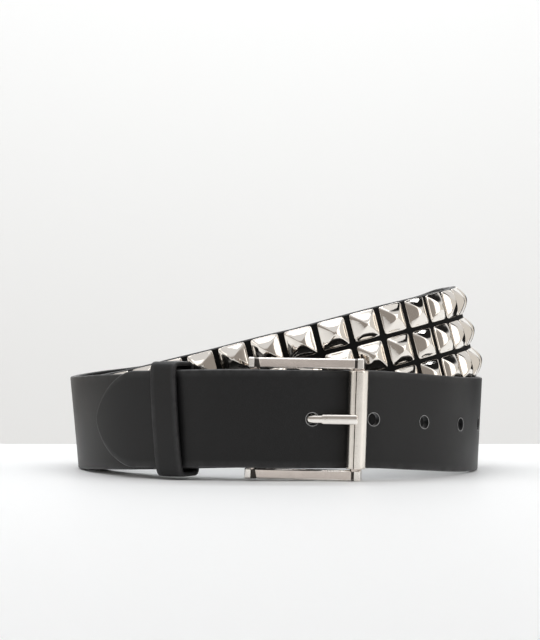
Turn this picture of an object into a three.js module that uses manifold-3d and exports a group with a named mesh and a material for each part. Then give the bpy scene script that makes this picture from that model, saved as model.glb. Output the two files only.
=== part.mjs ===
// A studded leather belt, buckled, coiled in two turns and standing on its edge.
// Millimetres. X is to the right, Y away from the buckle, Z up. The buckle is at the front.

import * as THREE from 'three';
import { mergeVertices } from 'three/addons/utils/BufferGeometryUtils.js';
import Module from 'manifold-3d';

const wasm = await Module();
wasm.setup();

// Strap
const strapWidth = 38.1;
const leather = 2.8;
const tipLength = 24.3;
const tipFullness = 1.55;
const tipToUsedHole = 101;
const holeDiameter = 4.8;
const holePitch = 25.4;
const holeCount = 5;
const foldLength = 52;

// Coil
const coilRadius = 83.7;
const usedHoleAngle = 9.84;
const climbShare = 0.95;
const layerGap = 0.3;

// Studs: the rows fill the strap's width
const rowCount = 3;
const studMargin = 0.5;
const rowGap = 1.6;
const columnGap = 2.2;
const studHeight = 3.4;
const webThickness = 0.5;
const lastHoleToStuds = 47.1;
const studsToBuckle = 155;
const studSize = (strapWidth - 2 * studMargin - (rowCount - 1) * rowGap) / rowCount;
const rowPitch = studSize + rowGap;
const columnPitch = studSize + columnGap;

// Buckle
const armHeight = 4.3;
const armDepth = 4.8;
const armChamfer = 0.9;
const armOverhang = 2.2;
const cornerLength = 2.4;
const cornerRelief = 0.12;
const frameClearance = 0.35;
const barSpacing = 41.1;
const frameTurn = 0.7;
const pivotDiameter = 4;
const farBarDiameter = 4.6;
const rollerDiameter = 7.7;
const rollerEndGap = 0.4;
const runningGap = 0.3;
const foldGap = 0.7;
const pivotToUsedHole = 24.2;

// Prong
const prongWidth = 3.9;
const prongNeckWidth = 3.4;
const prongThickness = 2.1;
const prongEyeWall = 1.8;
const prongBend = 11.55;
const prongStep = 0.62;
const slotClearance = 0.6;
const slotAngle = 12;

// Keeper
const keeperWidth = 10.6;
const keeperThickness = 1.8;
const keeperAngle = -30.2;
const keeperSideGap = 0.5;
const keeperTopGap = 1.3;
const keeperCorner = 1.2;
const keeperLean = 4.5;

const degrees = Math.PI / 180;
const quarter = Math.PI / 2;

// Layers of the coil, from the outer face of the tip inward
const buckleSideInset = leather + layerGap;
const studdedInset = leather + studHeight + 2 * layerGap;

// The coil's plan: its outer face where it is furthest to one side, at each quarter turn from the front.
// side and depth are shares of coilRadius, and inset is taken off toward the coil's axis.
const corners = [
  { at: 'tip side', side: -1, depth: 0, inset: 0 },
  { at: 'front', side: 0, depth: -1, inset: 0 },
  { at: 'lower right', side: 1, depth: 0, inset: 0 },
  { at: 'lower back', side: -0.06, depth: 0.836, inset: 0 },
  { at: 'inner left', side: -0.975, depth: 0.17, inset: studdedInset },
  { at: 'studded front', side: 0.185, depth: -0.765, inset: 0 },
  { at: 'upper right', side: 1.01, depth: 0.12, inset: 0 },
  { at: 'upper back', side: 0.06, depth: 1, inset: 0 },
  { at: 'outer left', side: -0.985, depth: 0.15, inset: 0 },
  { at: 'buckle end', side: 0, depth: -1, inset: buckleSideInset },
].map(({ at, side, depth, inset }) => ({
  at,
  x: coilRadius * side - (Math.abs(side) > Math.abs(depth) ? Math.sign(side) * inset : 0),
  y: coilRadius * depth - (Math.abs(depth) > Math.abs(side) ? Math.sign(depth) * inset : 0),
}));
const cornerAt = Object.fromEntries(corners.map((corner) => [corner.at, corner]));

// How the strap stands, by quarter turns from the front: climb is the height of its lower edge where it
// goes over the first turn, a share of strapWidth. lift is the height that the buckle gives it, a share
// of frontLift. lean is how far it leans to the left, a share of coilTilt.
const stance = [
  { turn: -1, climb: 0, lift: 0.5, lean: 0 },
  { turn: -0.5, climb: 0, lift: 0.78, lean: 0 },
  { turn: -0.1, climb: 0, lift: 1, lean: 0 },
  { turn: 0.1, climb: 0, lift: 0.945, lean: 0 },
  { turn: 0.28, climb: 0, lift: 0.89, lean: 0 },
  { turn: 0.45, climb: 0, lift: 0.62, lean: 0 },
  { turn: 0.72, climb: 0, lift: 0.17, lean: -0.16 },
  { turn: 1, climb: 0, lift: 0, lean: -0.21 },
  { turn: 2, climb: 0, lift: 0, lean: 0 },
  { turn: 2.8, climb: 0, lift: 0, lean: 0.25 },
  { turn: 3.1, climb: 0.004, lift: 0, lean: 0.42 },
  { turn: 3.4, climb: 0.094, lift: 0, lean: 1 },
  { turn: 3.7, climb: 0.302, lift: 0, lean: 1 },
  { turn: 4, climb: 0.57, lift: 0, lean: 1 },
  { turn: 4.4, climb: 0.848, lift: 0, lean: 1 },
  { turn: 4.7, climb: 0.974, lift: 0, lean: 1 },
  { turn: 5, climb: 1.026, lift: 0, lean: 1 },
  { turn: 5.2, climb: 1.008, lift: 0, lean: 1 },
  { turn: 5.35, climb: 0.932, lift: 0, lean: 1 },
  { turn: 5.6, climb: 0.768, lift: 0, lean: 1 },
  { turn: 6, climb: 0.43, lift: 0, lean: 1 },
  { turn: 6.3, climb: 0.163, lift: 0, lean: 0.95 },
  { turn: 6.6, climb: 0.055, lift: 0, lean: 0.7 },
  { turn: 7, climb: 0, lift: 0, lean: 0.4 },
  { turn: 7.4, climb: 0, lift: 0.42, lean: 0.04 },
  { turn: 8, climb: 0, lift: 1, lean: 0 },
];

const coilSpan = cornerAt['upper right'].x - cornerAt['inner left'].x;
const coilTilt = Math.atan2(strapWidth, climbShare * coilSpan);
const frameLength = barSpacing + 2 * armOverhang;
const frameOpening = strapWidth + 2 * frameClearance;
const frameHeight = frameOpening + 2 * armHeight;
const frameSwing = (frameLength / 2) * Math.sin(frameTurn * degrees);
const frontLift = armHeight + frameClearance + 2 * frameSwing;

/** Smooth value of one column of a table at a turn, with no overshoot between rows. */
function columnAt(rows, column, turn) {
  const last = rows.length - 2;
  let i = rows.findIndex((row) => row.turn > turn) - 1;
  if (i < 0) i = turn < rows[0].turn ? 0 : last;
  const slope = (k) => (rows[k + 1][column] - rows[k][column]) / (rows[k + 1].turn - rows[k].turn);
  const knot = (k) => {
    if (k === 0 || k === rows.length - 1) return 0;
    const [before, after] = [slope(k - 1), slope(k)];
    return before * after > 0 ? (2 * before * after) / (before + after) : 0;
  };
  const step = rows[i + 1].turn - rows[i].turn;
  const t = THREE.MathUtils.clamp((turn - rows[i].turn) / step, 0, 1);
  const [a, b] = [rows[i][column], rows[i + 1][column]];
  const rise = t * t * (3 - 2 * t);
  return a + (b - a) * rise + step * (knot(i) * t * (1 - t) * (1 - t) - knot(i + 1) * t * t * (1 - t));
}

/** Lower edge of the strap's outer face at a turn. Each quarter of the plan is a quarter of an ellipse. */
function lowerEdge(turn) {
  const index = THREE.MathUtils.clamp(Math.floor(turn), -1, corners.length - 3);
  const [from, to] = [corners[index + 1], corners[index + 2]];
  const sweep = (turn - index) * quarter;
  const leavesAlongX = index % 2 === 0;
  const [sine, cosine] = [Math.sin(sweep), Math.cos(sweep)];
  const [near, far] = leavesAlongX ? [sine, cosine] : [cosine, sine];
  const x = leavesAlongX ? from.x + (to.x - from.x) * near : to.x + (from.x - to.x) * near;
  const y = leavesAlongX ? to.y + (from.y - to.y) * far : from.y + (to.y - from.y) * far;
  const z = strapWidth * columnAt(stance, 'climb', turn) + frontLift * columnAt(stance, 'lift', turn);
  return new THREE.Vector3(x, y, z);
}

/** The strap's frame at a turn: its lower outer edge, and the directions across, along and out of it. */
function strapFrame(turn) {
  const reach = 0.002;
  const edge = lowerEdge(turn);
  const lean = coilTilt * columnAt(stance, 'lean', turn);
  const across = new THREE.Vector3(-Math.sin(lean), 0, Math.cos(lean));
  const along = lowerEdge(turn + reach).sub(lowerEdge(turn - reach));
  along.addScaledVector(across, -along.dot(across)).normalize();
  const out = new THREE.Vector3().crossVectors(along, across).normalize();
  return { edge, across, along, out };
}

/** A point of the strap: up is measured from its lower edge, off from its outer face. */
function strapPoint({ edge, across, out }, up, off) {
  return edge.clone().addScaledVector(across, up).addScaledVector(out, off);
}

// Lengths along the strap's middle, measured from the end of the tip, at even steps of turn
const pivotRadius = pivotDiameter / 2;
const foldOuterRadius = pivotRadius + foldGap + leather;
const pivotOrbit = coilRadius - buckleSideInset - foldOuterRadius;
const pivotAngle = usedHoleAngle - pivotToUsedHole / coilRadius / degrees;
const firstTurn = usedHoleAngle / 90 - tipToUsedHole / (coilRadius * quarter);
const lastTurn = corners.length - 2 + pivotAngle / 90;
const lengthSteps = 4000;
const turnStep = (lastTurn - firstTurn) / lengthSteps;
const lengths = [0];
for (let i = 1; i <= lengthSteps; i += 1) {
  const [a, b] = [i - 1, i].map((k) => strapPoint(strapFrame(firstTurn + k * turnStep), strapWidth / 2, 0));
  lengths.push(lengths[i - 1] + a.distanceTo(b));
}
const strapLength = lengths[lengthSteps];

/** The turn at a length along the strap. */
function turnAt(length) {
  const target = THREE.MathUtils.clamp(length, 0, strapLength);
  const i = Math.max(1, lengths.findIndex((value) => value >= target));
  const share = (target - lengths[i - 1]) / (lengths[i] - lengths[i - 1]);
  return firstTurn + (i - 1 + share) * turnStep;
}

const lastHole = tipToUsedHole + (holeCount - 1) * holePitch;
const studsStart = lastHole + lastHoleToStuds;
const columnCount = Math.floor((strapLength - studsToBuckle - studsStart) / columnPitch);
const columnLines = Array.from({ length: columnCount + 1 }, (_, i) => studsStart + i * columnPitch);

/** Evenly spaced lengths from one to another, with steps no longer than the given one. */
function steps(from, to, longest) {
  const count = Math.max(1, Math.ceil((to - from) / longest));
  return Array.from({ length: count + 1 }, (_, i) => from + ((to - from) * i) / count);
}

/** A closed solid from a geometry. */
function solid(geometry) {
  const bare = geometry.clone();
  bare.deleteAttribute('normal');
  bare.deleteAttribute('uv');
  const merged = mergeVertices(bare, 1e-4);
  return new wasm.Manifold(new wasm.Mesh({
    numProp: 3,
    vertProperties: Float32Array.from(merged.getAttribute('position').array),
    triVerts: Uint32Array.from(merged.getIndex().array),
  }));
}

/** A closed geometry from points and faces, each face a ring of point numbers. */
function polyhedron(points, faces) {
  const geometry = new THREE.BufferGeometry().setFromPoints(points);
  const triangles = (face) => face.slice(2).flatMap((_, i) => [face[0], face[i + 1], face[i + 2]]);
  geometry.setIndex(faces.flatMap(triangles));
  return geometry;
}

/** A closed solid through rings of points, all rings alike in number. */
function loft(rings) {
  const size = rings[0].length;
  const faces = [];
  for (let i = 0; i + 1 < rings.length; i += 1) {
    for (let k = 0; k < size; k += 1) {
      const [a, b] = [i * size + k, i * size + ((k + 1) % size)];
      faces.push([a, a + size, b + size, b]);
    }
  }
  const first = Array.from({ length: size }, (_, k) => k);
  faces.push(first, first.map((k) => (rings.length - 1) * size + size - 1 - k));
  return solid(polyhedron(rings.flat(), faces));
}

/** Joins solids into one. */
function join(solids) {
  return solids.reduce((all, next) => all.add(next));
}

/** A finished, named mesh from a solid. */
function piece(name, made, material) {
  const { vertProperties, triVerts } = made.getMesh();
  const geometry = new THREE.BufferGeometry();
  geometry.setAttribute('position', new THREE.BufferAttribute(vertProperties, 3));
  geometry.setIndex(new THREE.BufferAttribute(triVerts, 1));
  geometry.computeVertexNormals();
  const mesh = new THREE.Mesh(geometry, material);
  mesh.name = name;
  return mesh;
}

/** A point in the plan, from an angle at the front (to the right) and a distance from the coil's axis. */
function planPoint(angle, radius) {
  return new THREE.Vector2(radius * Math.sin(angle * degrees), -radius * Math.cos(angle * degrees));
}

/** An upright prism over a shape in the plan. */
function prism(shape, bottom, top) {
  const extrusion = { depth: top - bottom, bevelEnabled: false, curveSegments: 24 };
  const geometry = new THREE.ExtrudeGeometry(shape, extrusion);
  return solid(geometry.translate(0, 0, bottom));
}

// Places round the buckle, in the plan
const pivot = planPoint(pivotAngle, pivotOrbit);
const rollerOrbit = coilRadius + layerGap + rollerDiameter / 2;
const rollerOpening = Math.acos(
  (pivotOrbit ** 2 + rollerOrbit ** 2 - barSpacing ** 2) / (2 * pivotOrbit * rollerOrbit),
);
const farBar = planPoint(pivotAngle + rollerOpening / degrees, rollerOrbit);
const frameAlong = farBar.clone().sub(pivot).normalize();
const frameOut = new THREE.Vector2(frameAlong.y, -frameAlong.x);
const frameMiddle = frameHeight / 2 + frameSwing;

/** A point in the plan, along the buckle's frame from its pivot and out from its middle plane. */
function framePoint(along, out) {
  return pivot.clone().addScaledVector(frameAlong, along).addScaledVector(frameOut, out);
}

/** Half the strap's width at a length from the end of its tip. */
function halfWidth(length) {
  const inward = Math.max(0, 1 - length / tipLength);
  return (strapWidth / 2) * (1 - inward ** tipFullness) ** (1 / tipFullness);
}

/** The strap's section at a length: lower and upper outer corner, upper and lower inner corner. */
function strapSection(length) {
  const frame = strapFrame(turnAt(length));
  const [low, high] = [strapWidth / 2 - halfWidth(length), strapWidth / 2 + halfWidth(length)];
  return [
    strapPoint(frame, low, 0),
    strapPoint(frame, high, 0),
    strapPoint(frame, high, -leather),
    strapPoint(frame, low, -leather),
  ];
}

/** The strap's leather from the tip to the pivot bar. */
function strapRun() {
  const roundedTip = [0.03, 0.1, 0.22, 0.36, 0.52, 0.7, 0.85].map((share) => share * tipLength);
  const plainStep = 9;
  const stations = [
    ...roundedTip,
    ...steps(tipLength, studsStart, plainStep),
    ...columnLines.slice(1),
    ...steps(columnLines[columnCount], strapLength, plainStep).slice(1),
  ];
  return loft(stations.map(strapSection));
}

/** The buckle end's fold: round the pivot bar and back along the strap's inner face. */
function strapFold() {
  const overlap = 0.1;
  const settle = 15;
  const bottom = lowerEdge(lastTurn).z;
  const ring = (outer, inner, low) => [
    new THREE.Vector3(outer.x, outer.y, low),
    new THREE.Vector3(outer.x, outer.y, low + strapWidth),
    new THREE.Vector3(inner.x, inner.y, low + strapWidth),
    new THREE.Vector3(inner.x, inner.y, low),
  ];
  const rings = [];
  for (let bend = -4; bend <= 180; bend += 18.4) {
    const toward = planPoint(pivotAngle + bend, 1);
    const trim = bend < 0 ? overlap / 2 : 0;
    rings.push(ring(
      pivot.clone().addScaledVector(toward, foldOuterRadius - trim),
      pivot.clone().addScaledVector(toward, foldOuterRadius - leather + trim),
      bottom,
    ));
  }
  for (const back of steps(0, foldLength, 4).slice(1)) {
    const { edge, out } = strapFrame(turnAt(strapLength - back));
    const settled = THREE.MathUtils.smoothstep(back, 0, settle);
    const depth = THREE.MathUtils.lerp(2 * foldOuterRadius, 2 * leather - overlap, settled);
    const plan = new THREE.Vector2(edge.x, edge.y);
    const toward = new THREE.Vector2(out.x, out.y);
    rings.push(ring(
      plan.clone().addScaledVector(toward, -depth),
      plan.clone().addScaledVector(toward, -depth + leather),
      edge.z,
    ));
  }
  return loft(rings);
}

/** A round hole's cutter through the strap at a length. */
function holeCutter(length) {
  const frame = strapFrame(turnAt(length));
  const axis = new THREE.Quaternion().setFromUnitVectors(new THREE.Vector3(0, 1, 0), frame.out);
  const geometry = new THREE.CylinderGeometry(holeDiameter / 2, holeDiameter / 2, 3 * leather, 20);
  geometry.applyQuaternion(axis);
  const middle = strapPoint(frame, strapWidth / 2, -leather / 2);
  return solid(geometry.translate(middle.x, middle.y, middle.z));
}

const prongMiddle = strapPoint(strapFrame(usedHoleAngle / 90), strapWidth / 2, 0).z;

/** The prong's outline in the plan, grown by a margin, with or without the hole for the pivot bar. */
function prongShape(margin, pierced) {
  const half = prongThickness / 2 + margin;
  const eye = pivotRadius + runningGap + prongEyeWall + margin;
  const underOrbit = coilRadius - leather - layerGap - prongThickness / 2 - runningGap;
  const under = planPoint(pivotAngle + prongBend, underOrbit);
  const crown = framePoint(barSpacing, rollerDiameter / 2 + runningGap + prongThickness / 2);
  const rise = crown.clone().sub(under).normalize();
  const side = new THREE.Vector2(rise.y, -rise.x);
  const shank = under.clone().sub(pivot).normalize();
  const shankSide = new THREE.Vector2(shank.y, -shank.x);
  const shape = new THREE.Shape();
  const shankAngle = Math.atan2(shank.y, shank.x);
  const spread = Math.asin(half / eye);
  shape.absarc(pivot.x, pivot.y, eye, shankAngle + spread, shankAngle + 2 * Math.PI - spread, false);
  const bend = shankSide.clone().add(side).normalize();
  const outerBend = under.clone().addScaledVector(bend, half);
  const innerBend = under.clone().addScaledVector(bend, -half);
  const outerEnd = crown.clone().addScaledVector(side, half);
  const innerEnd = crown.clone().addScaledVector(side, -half);
  shape.lineTo(outerBend.x, outerBend.y);
  shape.lineTo(outerEnd.x, outerEnd.y);
  const nose = crown.clone().addScaledVector(rise, half);
  shape.quadraticCurveTo(outerEnd.x + rise.x * half, outerEnd.y + rise.y * half, nose.x, nose.y);
  shape.quadraticCurveTo(innerEnd.x + rise.x * half, innerEnd.y + rise.y * half, innerEnd.x, innerEnd.y);
  shape.lineTo(innerBend.x, innerBend.y);
  shape.closePath();
  if (pierced) {
    const hole = new THREE.Path();
    hole.absarc(pivot.x, pivot.y, pivotRadius + runningGap, 0, 2 * Math.PI, true);
    shape.holes.push(hole);
  }
  return shape;
}

/** The slot that lets the prong turn through the fold. */
function prongSlot() {
  const sector = new THREE.Shape();
  const [outer, inner] = [coilRadius - leather - layerGap / 2, pivotOrbit - foldOuterRadius - leather];
  const [from, to] = [-1, 1].map((side) => -quarter + (pivotAngle + (side * slotAngle) / 2) * degrees);
  sector.absarc(0, 0, outer, from, to, false);
  sector.absarc(0, 0, inner, to, from, true);
  const half = prongWidth / 2 + slotClearance;
  return prism(sector, prongMiddle - half, prongMiddle + half);
}

/** The whole strap, one piece of leather. */
function strap(material) {
  const holes = Array.from({ length: holeCount }, (_, i) => holeCutter(tipToUsedHole + i * holePitch));
  const prongWay = prism(
    prongShape(runningGap, false),
    prongMiddle - prongWidth / 2 - runningGap,
    prongMiddle + prongWidth / 2 + runningGap,
  );
  const cut = join([prongSlot(), prongWay, ...holes]);
  return piece('strap', strapRun().add(strapFold()).subtract(cut), material);
}

/** The field of pyramid studs: rows of square pyramids on a thin web that follows the strap's face. */
function studs(material) {
  const fieldTop = strapWidth - studMargin;
  const rowLines = Array.from({ length: rowCount + 1 }, (_, row) => {
    if (row === 0) return studMargin;
    return row === rowCount ? fieldTop : studMargin + row * rowPitch - rowGap / 2;
  });
  const [webBack, webFace] = [layerGap, layerGap + webThickness];
  const frames = columnLines.map((length) => strapFrame(turnAt(length)));
  const points = [];
  const faces = [];
  const add = (point) => points.push(point) - 1;
  const lines = frames.map((frame) => ({
    face: rowLines.map((up) => add(strapPoint(frame, up, webFace))),
    back: [add(strapPoint(frame, studMargin, webBack)), add(strapPoint(frame, fieldTop, webBack))],
  }));
  const inColumn = columnGap / 2 / columnPitch;
  for (let column = 0; column < columnCount; column += 1) {
    const [left, right] = [frames[column], frames[column + 1]];
    const [near, far] = [lines[column], lines[column + 1]];
    const onFace = (share, up, off) => strapPoint(left, up, off).lerp(strapPoint(right, up, off), share);
    for (let row = 0; row < rowCount; row += 1) {
      const low = studMargin + row * rowPitch;
      const high = low + studSize;
      const cell = [near.face[row], far.face[row], far.face[row + 1], near.face[row + 1]];
      const base = [
        add(onFace(inColumn, low, webFace)),
        add(onFace(1 - inColumn, low, webFace)),
        add(onFace(1 - inColumn, high, webFace)),
        add(onFace(inColumn, high, webFace)),
      ];
      const tip = add(onFace(0.5, (low + high) / 2, studHeight));
      for (let k = 0; k < 4; k += 1) {
        const next = (k + 1) % 4;
        faces.push([cell[k], cell[next], base[next], base[k]]);
        faces.push([base[k], base[next], tip]);
      }
    }
    faces.push([near.back[0], near.back[1], far.back[1], far.back[0]]);
    faces.push([near.back[0], far.back[0], far.face[0], near.face[0]]);
    faces.push([near.face[rowCount], far.face[rowCount], far.back[1], near.back[1]]);
  }
  const [start, end] = [lines[0], lines[columnCount]];
  faces.push([start.back[0], ...start.face, start.back[1]]);
  faces.push([end.back[1], ...end.face.slice().reverse(), end.back[0]]);
  return piece('studs', solid(polyhedron(points, faces)), material);
}

/** Turns and sets a geometry made about the buckle's own middle: X along it, Y into it, Z up. */
function placeOnFrame(geometry) {
  const middle = framePoint(barSpacing / 2, 0);
  geometry.rotateY(frameTurn * degrees);
  geometry.rotateZ(Math.atan2(frameAlong.y, frameAlong.x));
  return geometry.translate(middle.x, middle.y, frameMiddle);
}

/** An upright bar of the buckle. */
function bar(along, diameter, height) {
  const geometry = new THREE.CylinderGeometry(diameter / 2, diameter / 2, height, 40);
  return placeOnFrame(geometry.rotateX(quarter).translate(along, 0, 0));
}

/** A block with chamfered front and back edges, long along the buckle. */
function chamferedBar(length, depth, height, chamfer) {
  const [halfDepth, halfHeight] = [depth / 2, height / 2];
  const section = new THREE.Shape([
    new THREE.Vector2(-halfDepth + chamfer, -halfHeight),
    new THREE.Vector2(halfDepth - chamfer, -halfHeight),
    new THREE.Vector2(halfDepth, -halfHeight + chamfer),
    new THREE.Vector2(halfDepth, halfHeight - chamfer),
    new THREE.Vector2(halfDepth - chamfer, halfHeight),
    new THREE.Vector2(-halfDepth + chamfer, halfHeight),
    new THREE.Vector2(-halfDepth, halfHeight - chamfer),
    new THREE.Vector2(-halfDepth, -halfHeight + chamfer),
  ]);
  const geometry = new THREE.ExtrudeGeometry(section, { depth: length, bevelEnabled: false });
  geometry.translate(0, 0, -length / 2);
  return geometry.rotateX(quarter).rotateZ(quarter);
}

/** The buckle's frame: two arms, four corners, the pivot bar and the far bar, one casting. */
function buckleFrame(material) {
  const armPlace = (frameHeight - armHeight) / 2;
  const waist = frameLength - 2 * cornerLength;
  const trim = 2 * cornerRelief;
  const parts = [];
  for (const level of [-1, 1]) {
    const arm = chamferedBar(waist + cornerLength, armDepth - trim, armHeight - trim, armChamfer);
    parts.push(arm.translate(0, 0, level * armPlace));
    for (const end of [-1, 1]) {
      const corner = chamferedBar(cornerLength, armDepth, armHeight, armChamfer);
      parts.push(corner.translate((end * (frameLength - cornerLength)) / 2, 0, level * armPlace));
    }
  }
  const solids = parts.map((part) => solid(placeOnFrame(part)));
  const barHeight = frameHeight - armHeight;
  solids.push(solid(bar(-barSpacing / 2, pivotDiameter, barHeight)));
  solids.push(solid(bar(barSpacing / 2, farBarDiameter, barHeight)));
  return piece('buckle_frame', join(solids), material);
}

/** The roller, a tube that turns on the far bar. */
function buckleRoller(material) {
  const height = frameOpening - 2 * rollerEndGap;
  const tube = solid(bar(barSpacing / 2, rollerDiameter, height));
  const bore = solid(bar(barSpacing / 2, farBarDiameter + 2 * runningGap, frameHeight));
  return piece('buckle_roller', tube.subtract(bore), material);
}

/** The prong: an eye round the pivot bar, a shank under the strap's tip, and its end on the roller. */
function buckleProng(material) {
  const [whole, wide] = [prongNeckWidth, prongWidth].map((width) => (
    prism(prongShape(0, true), prongMiddle - width / 2, prongMiddle + width / 2)
  ));
  const step = framePoint(barSpacing * prongStep, 0);
  const end = new THREE.BoxGeometry(barSpacing, barSpacing, strapWidth);
  end.translate(step.x + barSpacing / 2, step.y, prongMiddle);
  return piece('buckle_prong', whole.add(wide.intersect(solid(end))), material);
}

/** A rounded rectangle, as a path of the given kind. */
function roundedRectangle(path, left, right, bottom, top, radius) {
  path.moveTo(left + radius, bottom);
  path.lineTo(right - radius, bottom);
  path.absarc(right - radius, bottom + radius, radius, -quarter, 0, false);
  path.lineTo(right, top - radius);
  path.absarc(right - radius, top - radius, radius, 0, quarter, false);
  path.lineTo(left + radius, top);
  path.absarc(left + radius, top - radius, radius, quarter, Math.PI, false);
  path.lineTo(left, bottom + radius);
  path.absarc(left + radius, bottom + radius, radius, Math.PI, 3 * quarter, false);
  return path;
}

/** Leans an upright solid along the coil by degrees: its foot moves on, and its top moves back. */
function leanAlongCoil(made, lean, middle) {
  return made.warp((place) => {
    const turn = (Math.tan(lean * degrees) * (middle - place[2])) / coilRadius;
    const [x, y] = place;
    place[0] = x * Math.cos(turn) - y * Math.sin(turn);
    place[1] = x * Math.sin(turn) + y * Math.cos(turn);
  });
}

/** The keeper: a leather loop round the tip, the strap and its fold. */
function keeper(material) {
  const halfTurn = keeperWidth / 2 / (coilRadius * quarter);
  const edges = [-halfTurn, 0, halfTurn].flatMap((offset) => {
    const turn = keeperAngle / 90 + offset;
    return [lowerEdge(turn), lowerEdge(corners.length - 2 + turn)];
  });
  const outer = coilRadius + keeperSideGap;
  const inner = Math.min(...edges.map((edge) => Math.hypot(edge.x, edge.y))) - 2 * leather - keeperSideGap;
  const bottom = Math.min(...edges.map((edge) => edge.z)) - keeperSideGap;
  const top = Math.max(...edges.map((edge) => edge.z)) + strapWidth + keeperTopGap;
  const wall = keeperThickness;
  const band = roundedRectangle(
    new THREE.Shape(), inner - wall, outer + wall, bottom - wall, top + wall, keeperCorner + wall,
  );
  band.holes.push(roundedRectangle(new THREE.Path(), inner, outer, bottom, top, keeperCorner));
  const extrusion = { depth: keeperWidth, bevelEnabled: false, curveSegments: 6 };
  const geometry = new THREE.ExtrudeGeometry(band, extrusion);
  geometry.translate(0, 0, -keeperWidth / 2);
  geometry.rotateX(quarter).rotateZ(-quarter + keeperAngle * degrees);
  return piece('keeper', leanAlongCoil(solid(geometry), keeperLean, (bottom + top) / 2), material);
}

const finish = (color, roughness, metalness) => (
  () => new THREE.MeshStandardMaterial({ color, roughness, metalness })
);
const blackLeather = finish(0x1f1f21, 0.5, 0);
const nickel = finish(0xd6cfc6, 0.12, 1);

const belt = new THREE.Group();
belt.add(strap(blackLeather()));
belt.add(studs(nickel()));
belt.add(buckleFrame(nickel()));
belt.add(buckleRoller(nickel()));
belt.add(buckleProng(nickel()));
belt.add(keeper(blackLeather()));

// The origin is the middle of the belt's box, on the surface that it stands on
const box = new THREE.Box3().setFromObject(belt);
const middle = box.getCenter(new THREE.Vector3());
belt.position.set(-middle.x, -middle.y, -box.min.z);

export default belt;
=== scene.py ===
"""The looks of a studded belt, buckled and coiled in two turns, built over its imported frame.

Sizes are in millimetres about the coil's axis, and a piece's mesh is in metres in the row's frame.
"""

import logging
import math
from bisect import bisect_left
from dataclasses import dataclass, field
from enum import Enum

import bmesh
import bpy
from mathutils import Matrix, Vector


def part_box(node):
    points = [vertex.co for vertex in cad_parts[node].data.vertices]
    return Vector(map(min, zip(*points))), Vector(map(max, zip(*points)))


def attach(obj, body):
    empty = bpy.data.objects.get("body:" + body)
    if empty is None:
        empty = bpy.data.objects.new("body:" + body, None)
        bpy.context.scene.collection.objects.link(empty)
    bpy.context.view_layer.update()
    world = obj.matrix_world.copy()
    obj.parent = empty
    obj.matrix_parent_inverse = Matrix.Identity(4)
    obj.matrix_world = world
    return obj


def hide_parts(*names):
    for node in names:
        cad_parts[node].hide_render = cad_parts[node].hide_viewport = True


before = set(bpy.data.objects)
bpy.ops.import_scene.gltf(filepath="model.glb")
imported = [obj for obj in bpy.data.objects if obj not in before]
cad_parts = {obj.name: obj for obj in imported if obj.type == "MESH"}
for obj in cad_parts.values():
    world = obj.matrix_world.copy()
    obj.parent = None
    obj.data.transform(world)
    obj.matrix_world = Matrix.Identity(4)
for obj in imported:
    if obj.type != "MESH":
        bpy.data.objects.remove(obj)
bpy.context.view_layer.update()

LOG = logging.getLogger("studded_belt")
MM = 0.001
QUARTER = math.pi / 2
# Points nearer than this, in metres, become one.
MERGE_DISTANCE = 1e-7
# Part of a quarter turn to each side over which the strap's direction is measured.
TURN_REACH = 0.002
Plan = tuple[float, float]
Place = tuple[float, float, float]
Colour = tuple[float, float, float]
Grid = list[list[int]]


class Zone(Enum):
    """The stretches of the strap that are laid out in different ways."""

    RUN = "run"
    BEND = "bend"
    BACK = "back"


class Face(Enum):
    """The leather's surfaces, by their material's place on the strap."""

    GRAIN_SIDE = 0
    FLESH_SIDE = 1
    # Hole rims: a band painted light grey as a highlight.
    HOLE_RIM_HIGHLIGHT = 2
    # Leather between the studs: painted darker as shade.
    SHADED_BETWEEN_STUDS = 3


class Plating(Enum):
    """The looks of the buckle frame's metal, by their material's place on the frame: the arms and the
    notches are darker copies of the blocks' plating, painted as shade.
    """

    ARM = 0
    NOTCH = 1
    BLOCK = 2


def smooth(value: float) -> float:
    """Returns an eased 0 to 1 from a value that is held to 0 to 1."""
    held = min(max(value, 0.0), 1.0)
    return held * held * (3 - 2 * held)


def steps(start: float, end: float, longest: float) -> list[float]:
    """Splits a length evenly.

    Args:
        start: First value.
        end: Last value.
        longest: The longest step allowed.

    Returns:
        The values from start to end.
    """
    count = max(1, math.ceil((end - start) / longest))
    return [start + (end - start) * i / count for i in range(count + 1)]


def plan_point(angle: float, radius: float) -> Vector:
    """Returns a point of the plan from degrees at the front and a distance from the coil's axis."""
    turn = math.radians(angle)
    return Vector((radius * math.sin(turn), -radius * math.cos(turn), 0.0))


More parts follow.
